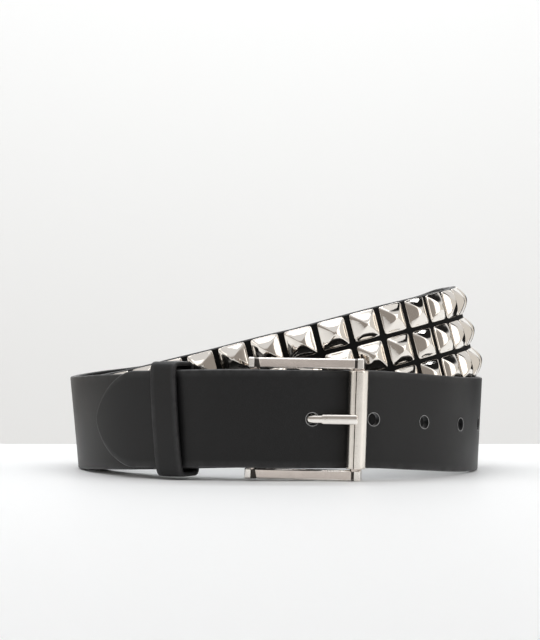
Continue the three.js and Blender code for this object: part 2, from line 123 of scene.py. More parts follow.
class Draft:
    """A mesh while it is being drawn: points with an edge mark, and faces with a material."""

    def __init__(self, name: str) -> None:
        """Starts an empty mesh.

        Args:
            name: The piece's name.
        """
        self.name = name
        self.points: list[Vector] = []
        self.marks: list[float] = []
        self.faces: list[tuple[int, ...]] = []
        self.sides: list[int] = []

    def point(self, place: Vector, mark: float = 0.0) -> int:
        """Adds a point.

        Args:
            place: Where it lies.
            mark: 1 on an edge that takes its finish's edge colour: wear and a painted highlight on the
                leather, a painted highlight on the buckle's bevels, a dark line on the roller's seam.

        Returns:
            The point's number.
        """
        self.points.append(Vector(place))
        self.marks.append(mark)
        return len(self.points) - 1

    def face(self, corners: tuple[int, ...], side: int = 0) -> None:
        """Adds a face over numbered points."""
        self.faces.append(tuple(corners))
        self.sides.append(side)

    def bridge(self, first: list[int], second: list[int], side: int = 0, closed: bool = True) -> None:
        """Joins two rows of points with quads.

        Args:
            first: One row.
            second: The other row, with as many points.
            side: Material place of the quads.
            closed: Whether the rows are rings.
        """
        count = len(first)
        for i in range(count if closed else count - 1):
            k = (i + 1) % count
            self.face((first[i], second[i], second[k], first[k]), side)

    def loft(self, rings: list[list[Vector]], marks: list[list[float]] | None = None,
             looped: bool = False, sides: dict[int, int] | None = None) -> None:
        """Draws a closed skin through rings of points.

        Args:
            rings: Rings with as many points each.
            marks: Edge marks of the points, or none.
            looped: Whether the last ring joins the first one instead of both being capped.
            sides: Material places of the bands after the numbered rings, where they aren't 0.
        """
        rows = []
        for i, ring in enumerate(rings):
            rows.append([self.point(p, marks[i][k] if marks else 0.0) for k, p in enumerate(ring)])
        for i, (before, after) in enumerate(zip(rows, rows[1:])):
            self.bridge(before, after, (sides or {}).get(i, 0))
        if looped:
            self.bridge(rows[-1], rows[0])
        else:
            self.face(tuple(reversed(rows[0])))
            self.face(tuple(rows[-1]))

    def finish(self, coil: "Coil", materials: list[bpy.types.Material],
               sharp: float = 40.0) -> bpy.types.Object:
        """Turns the drawing into an object.

        Args:
            coil: The coil, for its place in the row's frame.
            materials: Materials by their place on the piece.
            sharp: Angle in degrees from which an edge is shaded sharp.

        Returns:
            The new object, in the scene.
        """
        mesh = bpy.data.meshes.new(self.name)
        mesh.from_pydata([coil.to_row(p) for p in self.points], [], self.faces)
        mesh.polygons.foreach_set("material_index", self.sides)
        mark = mesh.attributes.new("edge", "FLOAT", "POINT")
        mark.data.foreach_set("value", self.marks)
        work = bmesh.new()
        work.from_mesh(mesh)
        bmesh.ops.remove_doubles(work, verts=work.verts, dist=MERGE_DISTANCE)
        bmesh.ops.recalc_face_normals(work, faces=work.faces)
        work.to_mesh(mesh)
        work.free()
        mesh.shade_smooth()
        mesh.set_sharp_from_angle(angle=math.radians(sharp))
        for material in materials:
            mesh.materials.append(material)
        made = bpy.data.objects.new(self.name, mesh)
        bpy.context.scene.collection.objects.link(made)
        return made


@dataclass(frozen=True)
class Corner:
    """Where the coil's plan is furthest to one side: shares of its radius, and millimetres inward."""

    side: float
    depth: float
    inset: float


@dataclass(frozen=True)
class Stance:
    """How the strap stands at a turn: its climb, the buckle's lift and its lean, as shares."""

    turn: float
    climb: float
    lift: float
    lean: float


@dataclass(frozen=True)
class Station:
    """The strap's frame at one length: its lower outer edge and three directions."""

    edge: Vector
    across: Vector
    along: Vector
    out: Vector


STANCES = tuple(Stance(*row) for row in (
    (-1, 0, 0.5, 0), (-0.5, 0, 0.78, 0), (-0.1, 0, 1, 0), (0.1, 0, 0.945, 0), (0.28, 0, 0.89, 0),
    (0.45, 0, 0.62, 0), (0.72, 0, 0.17, -0.16), (1, 0, 0, -0.21), (2, 0, 0, 0), (2.8, 0, 0, 0.25),
    (3.1, 0.004, 0, 0.42), (3.4, 0.094, 0, 1), (3.7, 0.302, 0, 1), (4, 0.57, 0, 1),
    (4.4, 0.848, 0, 1), (4.7, 0.974, 0, 1), (5, 1.026, 0, 1), (5.2, 1.008, 0, 1), (5.35, 0.932, 0, 1),
    (5.6, 0.768, 0, 1), (6, 0.43, 0, 1), (6.3, 0.163, 0, 0.95), (6.6, 0.055, 0, 0.7),
    (7, 0, 0, 0.4), (7.4, 0, 0.42, 0.04), (8, 0, 1, 0),
))


@dataclass
class BuckleSizes:
    """The buckle's sizes that the coil depends on."""

    arm_height: float = 4.3
    arm_depth: float = 4.8
    arm_overhang: float = 2.2
    corner_length: float = 2.4
    frame_clearance: float = 0.35
    bar_spacing: float = 41.1
    frame_turn: float = 0.7
    pivot_diameter: float = 4.0
    far_bar_diameter: float = 4.6
    roller_diameter: float = 7.7
    roller_end_gap: float = 0.4
    running_gap: float = 0.3
    fold_gap: float = 0.7
    pivot_to_used_hole: float = 24.2

    @property
    def frame_length(self) -> float:
        """Length of the frame over its corners."""
        return self.bar_spacing + 2 * self.arm_overhang

    @property
    def swing(self) -> float:
        """How far the frame's turn lifts its end."""
        return self.frame_length / 2 * math.sin(math.radians(self.frame_turn))


@dataclass
class Coil:
    """The strap's path: two turns about an upright axis, the upper one climbing over the lower."""

    buckle: BuckleSizes
    strap_width: float = 38.1
    leather: float = 2.8
    radius: float = 83.7
    layer_gap: float = 0.3
    stud_height: float = 3.4
    used_hole_angle: float = 9.84
    tip_to_used_hole: float = 101.0
    climb_share: float = 0.95
    length_steps: int = 4000
    corners: list[Plan] = field(default_factory=list)
    lengths: list[float] = field(default_factory=list)
    kept: dict[float, Station] = field(default_factory=dict)

    def __post_init__(self) -> None:
        """Lays out the plan and measures the strap along its middle."""
        studded = self.leather + self.stud_height + 2 * self.layer_gap
        inner = self.leather + self.layer_gap
        rows = (Corner(-1, 0, 0), Corner(0, -1, 0), Corner(1, 0, 0), Corner(-0.06, 0.836, 0),
                Corner(-0.975, 0.17, studded), Corner(0.185, -0.765, 0), Corner(1.01, 0.12, 0),
                Corner(0.06, 1, 0), Corner(-0.985, 0.15, 0), Corner(0, -1, inner))
        self.corners = [self.corner_place(row) for row in rows]
        span = self.corners[6][0] - self.corners[4][0]
        self.tilt = math.atan2(self.strap_width, self.climb_share * span)
        self.front_lift = self.buckle.arm_height + self.buckle.frame_clearance + 2 * self.buckle.swing
        self.pivot_radius = self.buckle.pivot_diameter / 2
        self.fold_radius = self.pivot_radius + self.buckle.fold_gap + self.leather
        self.pivot_orbit = self.radius - inner - self.fold_radius
        back_angle = math.degrees(self.buckle.pivot_to_used_hole / self.radius)
        self.pivot_angle = self.used_hole_angle - back_angle
        self.first_turn = self.used_hole_angle / 90 - self.tip_to_used_hole / (self.radius * QUARTER)
        self.last_turn = len(rows) - 2 + self.pivot_angle / 90
        self.turn_step = (self.last_turn - self.first_turn) / self.length_steps
        self.lengths = [0.0]
        before = self.middle(self.first_turn)
        for i in range(1, self.length_steps + 1):
            after = self.middle(self.first_turn + i * self.turn_step)
            self.lengths.append(self.lengths[-1] + (after - before).length)
            before = after
        self.strap_length = self.lengths[-1]
        self.pivot = plan_point(self.pivot_angle, self.pivot_orbit)
        orbit = self.radius + self.layer_gap + self.buckle.roller_diameter / 2
        reach = self.pivot_orbit ** 2 + orbit ** 2 - self.buckle.bar_spacing ** 2
        opening = math.acos(reach / (2 * self.pivot_orbit * orbit))
        self.far_bar = plan_point(self.pivot_angle + math.degrees(opening), orbit)
        low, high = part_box("buckle_roller")
        self.offset = ((low + high) / 2 / MM - self.far_bar) * Vector((1, 1, 0))

    def corner_place(self, corner: Corner) -> Plan:
        """Places a corner in the plan.

        Args:
            corner: The corner.

        Returns:
            Its place.
        """
        sideways = abs(corner.side) > abs(corner.depth)
        x = self.radius * corner.side - (math.copysign(corner.inset, corner.side) if sideways else 0)
        y = self.radius * corner.depth - (0 if sideways else math.copysign(corner.inset, corner.depth))
        return x, y

    def to_row(self, place: Vector) -> tuple[float, float, float]:
        """Returns a place in the row's frame, in metres."""
        return ((place.x + self.offset.x) * MM, (place.y + self.offset.y) * MM, place.z * MM)

    def share(self, name: str, turn: float) -> float:
        """Reads one column of the stances, smoothly and with no overshoot.

        Args:
            name: The column.
            turn: Quarter turns from the front.

        Returns:
            The column's value there.
        """
        rows = STANCES
        last = len(rows) - 2
        place = next((k for k, row in enumerate(rows) if row.turn > turn), -1) - 1
        if place < 0:
            place = 0 if turn < rows[0].turn else last

        def value(k: int) -> float:
            """Returns the column's value in a row."""
            return getattr(rows[k], name)

        def slope(k: int) -> float:
            """Returns the slope from a row to the next."""
            return (value(k + 1) - value(k)) / (rows[k + 1].turn - rows[k].turn)

        def knot(k: int) -> float:
            """Finds the slope at a row.

            Args:
                k: The row.

            Returns:
                The slope.
            """
            if k in (0, len(rows) - 1):
                return 0.0
            before, after = slope(k - 1), slope(k)
            return 2 * before * after / (before + after) if before * after > 0 else 0.0

        step = rows[place + 1].turn - rows[place].turn
        t = min(max((turn - rows[place].turn) / step, 0.0), 1.0)
        start, end = value(place), value(place + 1)
        bow = knot(place) * t * (1 - t) ** 2 - knot(place + 1) * t * t * (1 - t)
        return start + (end - start) * smooth(t) + step * bow

    def lower_edge(self, turn: float) -> Vector:
        """Finds the lower edge of the strap's outer face.

        Args:
            turn: Quarter turns from the front.

        Returns:
            The edge's point there.
        """
        index = min(max(math.floor(turn), -1), len(self.corners) - 3)
        start, end = self.corners[index + 1], self.corners[index + 2]
        sweep = (turn - index) * QUARTER
        sine, cosine = math.sin(sweep), math.cos(sweep)
        if index % 2 == 0:
            x = start[0] + (end[0] - start[0]) * sine
            y = end[1] + (start[1] - end[1]) * cosine
        else:
            x = end[0] + (start[0] - end[0]) * cosine
            y = start[1] + (end[1] - start[1]) * sine
        z = self.strap_width * self.share("climb", turn) + self.front_lift * self.share("lift", turn)
        return Vector((x, y, z))

    def across(self, turn: float) -> Vector:
        """Returns the direction across the strap, upward, at a turn."""
        lean = self.tilt * self.share("lean", turn)
        return Vector((-math.sin(lean), 0, math.cos(lean)))

    def middle(self, turn: float) -> Vector:
        """Returns the middle of the strap's outer face at a turn."""
        return self.lower_edge(turn) + self.across(turn) * (self.strap_width / 2)

    def turn_at(self, length: float) -> float:
        """Finds how far round a length lies.

        Args:
            length: From the end of the tip.

        Returns:
            Quarter turns from the front.
        """
        target = min(max(length, 0.0), self.strap_length)
        i = max(1, bisect_left(self.lengths, target))
        part = (target - self.lengths[i - 1]) / (self.lengths[i] - self.lengths[i - 1])
        return self.first_turn + (i - 1 + part) * self.turn_step

    def station(self, length: float) -> Station:
        """Finds the strap's frame, and keeps it for the next time.

        Args:
            length: From the end of the tip.

        Returns:
            The frame there.
        """
        key = round(length, 5)
        if key not in self.kept:
            turn = self.turn_at(length)
            across = self.across(turn)
            along = self.lower_edge(turn + TURN_REACH) - self.lower_edge(turn - TURN_REACH)
            along = (along - across * along.dot(across)).normalized()
            self.kept[key] = Station(self.lower_edge(turn), across, along, along.cross(across).normalized())
        return self.kept[key]

    def on_strap(self, length: float, up: float, off: float) -> Vector:
        """Returns a point by its length, its height on the strap and its distance off the outer face."""
        here = self.station(length)
        return here.edge + here.across * up + here.out * off


class NodeMaker:
    """Adds shader nodes to one tree."""

    def __init__(self, tree: bpy.types.NodeTree) -> None:
        """Keeps the tree."""
        self.tree = tree

    def feed(self, socket: bpy.types.NodeSocket, value: object) -> None:
        """Feeds one input.

        Args:
            socket: The input.
            value: A socket to link, a number, a vector, a colour, or none to leave the input.
        """
        if isinstance(value, bpy.types.NodeSocket):
            self.tree.links.new(value, socket)
        elif value is not None:
            socket.default_value = (*value, 1.0) if socket.type == "RGBA" else value

    def fill(self, node: bpy.types.Node, inputs: dict[str, object]) -> None:
        """Feeds inputs of a node by their names."""
        for name, value in inputs.items():
            self.feed(node.inputs[name], value)

    def add(self, kind: str, inputs: dict[str, object] | None = None, **values: object) -> bpy.types.Node:
        """Adds a node.

        Args:
            kind: The node's type name.
            inputs: What its inputs are fed, by their names.
            **values: Properties of the node.

        Returns:
            The node.
        """
        node = self.tree.nodes.new(kind)
        for name, value in values.items():
            setattr(node, name, value)
        self.fill(node, inputs or {})
        return node

    def calc(self, kind: str, operation: str, *values: object) -> bpy.types.NodeSocket:
        """Adds a node that calculates.

        Args:
            kind: The node's type name.
            operation: Its operation.
            *values: What its inputs are fed, in their order.

        Returns:
            The value's socket.
        """
        node = self.add(kind, operation=operation)
        for socket, value in zip(node.inputs, values):
            self.feed(socket, value)
        return node.outputs["Value"]

    def math(self, operation: str, *values: object) -> bpy.types.NodeSocket:
        """Returns the result of a math node on sockets or numbers."""
        return self.calc("ShaderNodeMath", operation, *values)

    def ramp(self, source: bpy.types.NodeSocket, low: float, high: float, start: float = 0.0,
             end: float = 1.0) -> bpy.types.NodeSocket:
        """Returns a value eased from one range into another."""
        span = {"Value": source, "From Min": low, "From Max": high, "To Min": start, "To Max": end}
        return self.add("ShaderNodeMapRange", span, interpolation_type="SMOOTHSTEP").outputs["Result"]

    def noise(self, place: bpy.types.NodeSocket, scale: object, detail: float) -> bpy.types.NodeSocket:
        """Returns the value of a noise texture."""
        values = {"Vector": place, "Scale": scale, "Detail": detail}
        return self.add("ShaderNodeTexNoise", values).outputs["Fac"]

    def mix(self, share: bpy.types.NodeSocket, first: object, second: object) -> bpy.types.NodeSocket:
        """Mixes two colours.

        Args:
            share: Share of the second colour.
            first: A colour or its socket.
            second: A colour or its socket.

        Returns:
            The mixed colour's socket.
        """
        node = self.add("ShaderNodeMix", data_type="RGBA")
        for index, value in ((0, share), (6, first), (7, second)):
            self.feed(node.inputs[index], value)
        return node.outputs[2]


class EffectGroups:
    """Shader node groups that several finishes share, each built once."""

    def __init__(self) -> None:
        """Builds the groups."""
        self.grain = self.build_grain()
        self.wear_and_highlight = self.build_wear_and_highlight()
        self.marks = self.build_marks()

    @staticmethod
    def start(name: str, inputs: tuple[str, ...], outputs: tuple[str, ...]) -> tuple:
        """Starts a group that takes coordinates and numbers and gives numbers.

        Args:
            name: The group's name.
            inputs: Names of its number inputs.
            outputs: Names of its outputs.

        Returns:
            A node maker, the sockets that the group is given and those of its result.
        """
        tree = bpy.data.node_groups.new(name, "ShaderNodeTree")
        tree.interface.new_socket("Coordinates", in_out="INPUT", socket_type="NodeSocketVector")
        for title in inputs:
            tree.interface.new_socket(title, in_out="INPUT", socket_type="NodeSocketFloat")
        for title in outputs:
            tree.interface.new_socket(title, in_out="OUTPUT", socket_type="NodeSocketFloat")
        make = NodeMaker(tree)
        return make, make.add("NodeGroupInput").outputs, make.add("NodeGroupOutput").inputs

    def build_grain(self) -> bpy.types.NodeTree:
        """Builds the leather grain: small pebbles with fine pores between them.

        Returns:
            The group.
        """
        make, given, result = self.start("leather_grain", ("Scale", "Pore Depth"), ("Height", "Pores"))
        place, scale = given["Coordinates"], given["Scale"]
        pebbles = make.add("ShaderNodeTexVoronoi", {"Vector": place, "Scale": scale, "Smoothness": 0.6},
                           feature="SMOOTH_F1").outputs["Distance"]
        creases = make.noise(place, make.math("MULTIPLY", scale, 0.35), 5.0)
        pores = make.ramp(pebbles, 0.45, 0.85)
        raised = make.math("ADD", make.math("SUBTRACT", 1.0, pebbles), creases)
        sunk = make.math("MULTIPLY", pores, given["Pore Depth"])
        make.feed(result["Height"], make.math("SUBTRACT", raised, sunk))
        make.feed(result["Pores"], pores)
        return make.tree

    def build_wear_and_highlight(self) -> bpy.types.NodeTree:
        """Builds the edge mask for wear and painted highlights: the marked edges of a piece, broken up by
        noise.

        Returns:
            The group.
        """
        make, given, result = self.start("edge_wear_and_highlight", ("Edge", "Scale", "Amount"), ("Mask",))
        patches = make.ramp(make.noise(given["Coordinates"], given["Scale"], 6.0), 0.32, 0.6, 0.45, 1.0)
        mask = make.math("MULTIPLY", given["Edge"], patches)
        make.feed(result["Mask"], make.math("MULTIPLY", mask, given["Amount"]))
        return make.tree

    def build_marks(self) -> bpy.types.NodeTree:
        """Builds handling marks: wide smudges and short fine scratches.

        Returns:
            The group.
        """
        make, given, result = self.start("handling_marks", ("Smudge Scale", "Scratch Scale"),
                                         ("Smudges", "Scratches"))
        place = given["Coordinates"]
        wide = make.noise(place, given["Smudge Scale"], 3.0)
        make.feed(result["Smudges"], make.ramp(wide, 0.35, 0.7))
        drawn_out = {"Vector": place, "Rotation": (0.4, 0.9, 0.3), "Scale": (1.0, 0.06, 1.0)}
        stretched = make.add("ShaderNodeMapping", drawn_out).outputs["Vector"]
        thin = make.noise(stretched, given["Scratch Scale"], 2.0)
        make.feed(result["Scratches"], make.ramp(thin, 0.62, 0.72))
        return make.tree


@dataclass(frozen=True)
class Surface:
    """A material while its nodes are being joined."""

    material: bpy.types.Material
    make: NodeMaker
    place: bpy.types.NodeSocket
    wear_and_highlight: bpy.types.NodeSocket
    smudges: bpy.types.NodeSocket
    scratches: bpy.types.NodeSocket

    def bump(self, strength: float, distance: float, height: bpy.types.NodeSocket) -> bpy.types.NodeSocket:
        """Returns the normal of a surface that is raised by a height."""
        values = {"Strength": strength, "Distance": distance, "Height": height}
        return self.make.add("ShaderNodeBump", values).outputs["Normal"]

    def close(self, inputs: dict[str, object]) -> bpy.types.Material:
        """Feeds the shader and returns the material."""
        self.make.fill(self.material.node_tree.nodes["Principled BSDF"], inputs)
        return self.material


@dataclass(frozen=True)
class Finish:
    """What every finish has: its name, its colours and its gloss."""

    name: str
    colour: Colour
    worn_and_highlighted: Colour
    roughness: float

    def begin(self, groups: EffectGroups, wear_and_highlight: Plan, marks: Plan) -> Surface:
        """Starts the material with its marked edges, which carry wear and painted highlights, and its
        handling marks.

        Args:
            groups: The shared effects.
            wear_and_highlight: Scale and amount of the edge mask for wear and painted highlights.
            marks: Scales of the smudges and the scratches.

        Returns:
            The surface to go on with.
        """
        material = bpy.data.materials.new(self.name)
        material.use_nodes = True
        make = NodeMaker(material.node_tree)
        place = make.add("ShaderNodeTexCoord").outputs["Object"]
        edge = make.add("ShaderNodeAttribute", attribute_name="edge").outputs["Fac"]
        worn_and_highlighted = make.add("ShaderNodeGroup", {"Coordinates": place, "Edge": edge, "Scale": wear_and_highlight[0],
                                            "Amount": wear_and_highlight[1]}, node_tree=groups.wear_and_highlight)
        handled = make.add("ShaderNodeGroup", {"Coordinates": place, "Smudge Scale": marks[0],
                                               "Scratch Scale": marks[1]}, node_tree=groups.marks)
        return Surface(material, make, place, worn_and_highlighted.outputs["Mask"], *handled.outputs)


@dataclass(frozen=True)
class LeatherFinish(Finish):
    """A leather surface: its gloss, its grain, and its edges, lightened as wear and as a painted highlight.
    """

    rough_spread: float = 0.06
    grain_scale: float = 2600.0
    grain_height: float = 0.00004
    pore_depth: float = 0.5
    pore_shade: float = 0.72
    wear_and_highlight: float = 0.6
    level: float = 0.5

    def build(self, groups: EffectGroups) -> bpy.types.Material:
        """Builds the material.

        Args:
            groups: The shared effects.

        Returns:
            A leather material.
        """
        surface = self.begin(groups, (260.0, self.wear_and_highlight), (28.0, 420.0))
        make = surface.make
        grain = make.add("ShaderNodeGroup", {"Coordinates": surface.place, "Scale": self.grain_scale,
                                             "Pore Depth": self.pore_depth}, node_tree=groups.grain)
        dark = tuple(self.pore_shade * part for part in self.colour)
        base = make.mix(grain.outputs["Pores"], self.colour, dark)
        spread = make.math("MULTIPLY", surface.smudges, self.rough_spread)
        return surface.close({
            "Base Color": make.mix(surface.wear_and_highlight, base, self.worn_and_highlighted),
            "Roughness": make.math("ADD", spread, self.roughness),
            "Specular IOR Level": self.level,
            "Normal": surface.bump(0.35, self.grain_height, grain.outputs["Height"]),
        })


@dataclass(frozen=True)
class MetalFinish(Finish):
    """A plated metal surface: its polish, its faint scratches and its shallow waves."""

    rough_spread: float = 0.04
    scratch_depth: float = 0.06
    wave_scale: float = 300.0
    wave_height: float = 0.00001
    smudge_shade: float = 0.97

    def build(self, groups: EffectGroups) -> bpy.types.Material:
        """Builds the material.

        Args:
            groups: The shared effects.

        Returns:
            A metal material.
        """
        surface = self.begin(groups, (900.0, 1.0), (160.0, 1500.0))
        make = surface.make
        smudged = tuple(self.smudge_shade * part for part in self.colour)
        clean = make.mix(surface.smudges, self.colour, smudged)
        scratched = make.math("MULTIPLY", surface.scratches, self.scratch_depth)
        spread = make.math("MULTIPLY", surface.smudges, self.rough_spread)
        waves = make.noise(surface.place, self.wave_scale, 1.0)
        return surface.close({
            "Base Color": make.mix(surface.wear_and_highlight, clean, self.worn_and_highlighted),
            "Metallic": 1.0,
            "Roughness": make.math("ADD", make.math("ADD", scratched, spread), self.roughness),
            "Normal": surface.bump(0.5, self.wave_height, waves),
        })


# The near-white highlight painted on the buckle's bevels, and every finish: name, colour, colour at marked
# edges and roughness first.
PAINTED_BEVEL_HIGHLIGHT = (0.96, 0.93, 0.89)
FINISHES = (
    # The strap's and the keeper's edge colours lighten their edges, as wear and as a painted highlight.
    LeatherFinish("strap_grain_side", (0.0075, 0.0075, 0.008), (0.11, 0.11, 0.112), 0.4, level=0.34),
    LeatherFinish("strap_flesh_side", (0.011, 0.0105, 0.0105), (0.03, 0.03, 0.03), 0.78, rough_spread=0.1,
                  grain_scale=1700.0, grain_height=0.0001, pore_depth=1.0, wear_and_highlight=0.3, level=0.3),
    # The leather between the studs: a darker, duller copy of the grain side, painted as the shade the studs
    # cast.
    LeatherFinish("strap_painted_shade_between_studs", (0.003, 0.003, 0.003), (0.006, 0.006, 0.006), 0.6, level=0.12),
    # The hole rims' light grey is a painted highlight on the black leather.
    LeatherFinish("hole_rim_painted_highlight", (0.36, 0.36, 0.36), (0.4, 0.4, 0.4), 0.3, grain_height=0.00003),
    LeatherFinish("keeper_grain_side", (0.0085, 0.0085, 0.009), (0.07, 0.07, 0.072), 0.4, wear_and_highlight=0.35,
                  level=0.34),
    MetalFinish("stud_plating", (0.87, 0.825, 0.765), (0.8, 0.75, 0.69), 0.05, rough_spread=0.03,
                wave_scale=500.0, wave_height=0.00002),
    MetalFinish("bright_plating", (0.94, 0.9, 0.85), PAINTED_BEVEL_HIGHLIGHT, 0.14),
    # The arms' plating is a darker copy of the bright plating, painted as shade; the notches' near-black
    # plating is painted shade too.
    MetalFinish("arm_plating_painted_shade", (0.68, 0.6, 0.545), PAINTED_BEVEL_HIGHLIGHT, 0.14),
    MetalFinish("notch_shade", (0.045, 0.04, 0.036), (0.3, 0.28, 0.26), 0.3),
    # The roller's edge colour is a dark line along its seam groove.
    MetalFinish("roller_plating", (0.89, 0.84, 0.775), (0.03, 0.025, 0.02), 0.18),
)


def hand_over(piece: bpy.types.Object, slot: str, *nodes: str) -> bpy.types.Object:
    """Ties a piece to the frame.

    Args:
        piece: The piece, in place.
        slot: Not used.
        *nodes: The CAD nodes that the piece stands for.

    Returns:
        The piece.
    """
    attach(piece, "root")
    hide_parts(*nodes)
    LOG.info("%s: %d faces", piece.name, len(piece.data.polygons))
    return piece


# Cells of the strap's grid from the middle of a hole's patch, and of the slot, to its edge.
HOLE_REACH = 4
SLOT_REACH = 2
# A hole's rings: how far outside its radius, and how far off the outer face or the inner one.
RIM_OUTER = ((0.55, 0.0), (0.34, 0.05), (0.14, 0.02), (0.04, -0.2), (0.0, -0.5))
RIM_INNER = ((0.0, 0.3), (0.1, 0.08), (0.3, 0.0))
# The rim band that is painted light grey as a highlight round each hole.
HIGHLIGHT_RING = 2


@dataclass
class Strap:
    """The leather strap: rounded tip, five holes, and the buckle end folded back round the pivot."""

    coil: Coil
    tip_length: float = 24.3
    tip_fullness: float = 1.55
    hole_diameter: float = 4.8
    hole_pitch: float = 25.4
    hole_count: int = 5
    fold_length: float = 52.0
    edge_radius: float = 0.62
    settle: float = 15.0
    longest_step: float = 2.3
    cell: float = 1.25
    outer_lines: tuple[float, ...] = (7.2, 10.0, 13.0, 16.0)
    slot_before: float = 8.6
    slot_after: float = 8.2
    tip_rows: int = 26
    tip_crowding: float = 1.7
    bend_rows: int = 14
    end_rounding: float = 3.0
    fold_slack: float = 0.03
    # Outer-face lines this far from the middle take a faint edge mark, lightened as wear and as a painted
    # highlight.
    faint_mark_beyond: float = 18.0
    faint_wear_and_highlight: float = 0.35

    def __post_init__(self) -> None:
        """Works out the lengths and the lines across the strap."""
        coil = self.coil
        self.half = coil.strap_width / 2
        self.bend_length = math.pi * (coil.fold_radius - coil.leather / 2)
        self.bend_start = coil.strap_length
        self.bend_end = self.bend_start + self.bend_length
        self.full_length = self.bend_end + self.fold_length
        near = [self.cell * k for k in range(1, HOLE_REACH + 1)]
        right = [*near, *self.outer_lines, self.half - self.edge_radius]
        self.lines = [-v for v in reversed(right)] + [0.0] + right
        self.centre = len(right)
        self.holes = [coil.tip_to_used_hole + i * self.hole_pitch for i in range(self.hole_count)]
        self.profile = self.edge_profile()

    def edge_profile(self) -> list[Plan]:
        """Draws the rounded edge from the outer face to the inner one.

        Returns:
            Inset and depth off the face of each of its points.
        """
        turns = [math.radians(22.5 * k) for k in range(1, 5)]
        radius, depth = self.edge_radius, self.coil.leather
        first = [(radius * (1 - math.sin(a)), -radius * (1 - math.cos(a))) for a in turns]
        return [*first, (0.0, -depth / 2), *[(inset, -depth - off) for inset, off in reversed(first)]]

    def zone(self, length: float) -> Zone:
        """Finds the stretch that a length lies on.

        Args:
            length: From the end of the tip, along the leather.

        Returns:
            The stretch.
        """
        if length <= self.bend_start:
            return Zone.RUN
        return Zone.BEND if length < self.bend_end else Zone.BACK

    def place(self, length: float, up: float, off: float) -> Vector:
        """Returns a point of the leather.

        Args:
            length: From the end of the tip, along the leather.
            up: From the strap's middle line.
            off: From the outer face, negative into the leather.

        Returns:
            The point.
        """
        coil = self.coil
        zone = self.zone(length)
        if zone is Zone.RUN:
            return coil.on_strap(length, self.half + up, off)
        if zone is Zone.BEND:
            bend = 180 * (length - self.bend_start) / self.bend_length
            point = coil.pivot + plan_point(coil.pivot_angle + bend, coil.fold_radius + off)
            point.z = coil.lower_edge(coil.last_turn).z + self.half + up
            return point
        back = length - self.bend_end
        depth = 2 * coil.fold_radius
        depth += (2 * coil.leather + self.fold_slack - depth) * smooth(back / self.settle)
        return coil.on_strap(coil.strap_length - back, self.half + up, -depth - off)

    def half_width(self, length: float) -> float:
        """Returns half of the strap's width at a length from the end of the tip."""
        inward = max(0.0, 1 - length / self.tip_length)
        return self.half * (1 - inward ** self.tip_fullness) ** (1 / self.tip_fullness)

    def stations(self) -> list[float]:
        """Lays out the rows of points, with even rows round each hole and at the slot.

        Returns:
            The rows' lengths.
        """
        share = [i / self.tip_rows for i in range(self.tip_rows + 1)]
        tip = [self.tip_length * part ** self.tip_crowding for part in share]
        marks = [self.tip_length]
        reach = HOLE_REACH * self.cell
        for hole in self.holes:
            marks += [hole - reach + self.cell * i for i in range(2 * HOLE_REACH + 1)]
        marks += [self.bend_start - self.slot_before, self.bend_start]
        marks += [self.bend_start + self.bend_length * i / self.bend_rows for i in range(1, self.bend_rows)]
        marks += [self.bend_end, self.bend_end + self.slot_after]
        marks += [self.full_length - self.end_rounding, self.full_length]
        found = tip[:-1]
        for start, end in zip(marks, marks[1:]):
            found += steps(start, end, self.longest_step)[:-1]
        return [*found, self.full_length]

    def spot(self, length: float, line: float, inset: float, off: float) -> Vector:
        """Places a point of the flat pattern, drawn in from the leather's outline by an inset.

        Args:
            length: Row of the point.
            line: Its line across, in millimetres where the strap has its full width.
            inset: How far the outline is drawn in there.
            off: From the outer face.

        Returns:
            The point.
        """
        at_tip = max(0.0, 1 - length / self.tip_length)
        at_end = max(0.0, 1 - (self.full_length - length) / self.end_rounding)
        inward = inset * (at_tip - at_end)
        share = self.half_width(length) / self.half
        return self.place(length + inward, line * share, off)

    def build(self, materials: list[bpy.types.Material], studded: Plan) -> bpy.types.Object:
        """Builds the strap.

        Args:
            materials: The strap's materials, in the order of its faces' kinds.
            studded: Lengths where the studs start and end.

        Returns:
            The piece.
        """
        draft = Draft("strap_leather")
        rows = self.stations()
        radius, depth = self.edge_radius, self.coil.leather
        faint = [self.faint_wear_and_highlight if abs(v) > self.faint_mark_beyond else 0.0 for v in self.lines]
        outer, inner, upper, lower = [], [], [], []
        for length in rows:
            outer.append([draft.point(self.spot(length, v, radius, 0.0), mark)
                          for v, mark in zip(self.lines, faint)])
            inner.append([draft.point(self.spot(length, v, radius, -depth)) for v in self.lines])
            for side, way in ((upper, 1), (lower, -1)):
                side.append([draft.point(self.spot(length, way * (self.half - i), i, off), 1.0)
                             for i, off in self.profile])
        skipped = self.hole_cells(rows) | self.slot_cells(rows)
        last = len(self.lines) - 1
        for i in range(len(rows) - 1):
            for j in range(last):
                if (i, j) in skipped:
                    continue
                # Faces along the studded stretch take the painted shade between the studs.
                face = Face.SHADED_BETWEEN_STUDS if studded[0] < rows[i] < studded[1] else Face.GRAIN_SIDE
                draft.face((outer[i][j], outer[i + 1][j], outer[i + 1][j + 1], outer[i][j + 1]), face.value)
                draft.face((inner[i][j], inner[i][j + 1], inner[i + 1][j + 1], inner[i + 1][j]),
                           Face.FLESH_SIDE.value)
            for side, j in ((upper, last), (lower, 0)):
                near = [outer[i][j], *side[i], inner[i][j]]
                far = [outer[i + 1][j], *side[i + 1], inner[i + 1][j]]
                draft.bridge(near, far, closed=False)
        self.close_end(draft, outer[-1], inner[-1], upper[-1], lower[-1])
        for hole in self.holes:
            self.add_hole(draft, rows, outer, inner, hole)
        self.add_slot(draft, rows, outer, inner)
        return hand_over(draft.finish(self.coil, materials), "strap_leather", "strap")

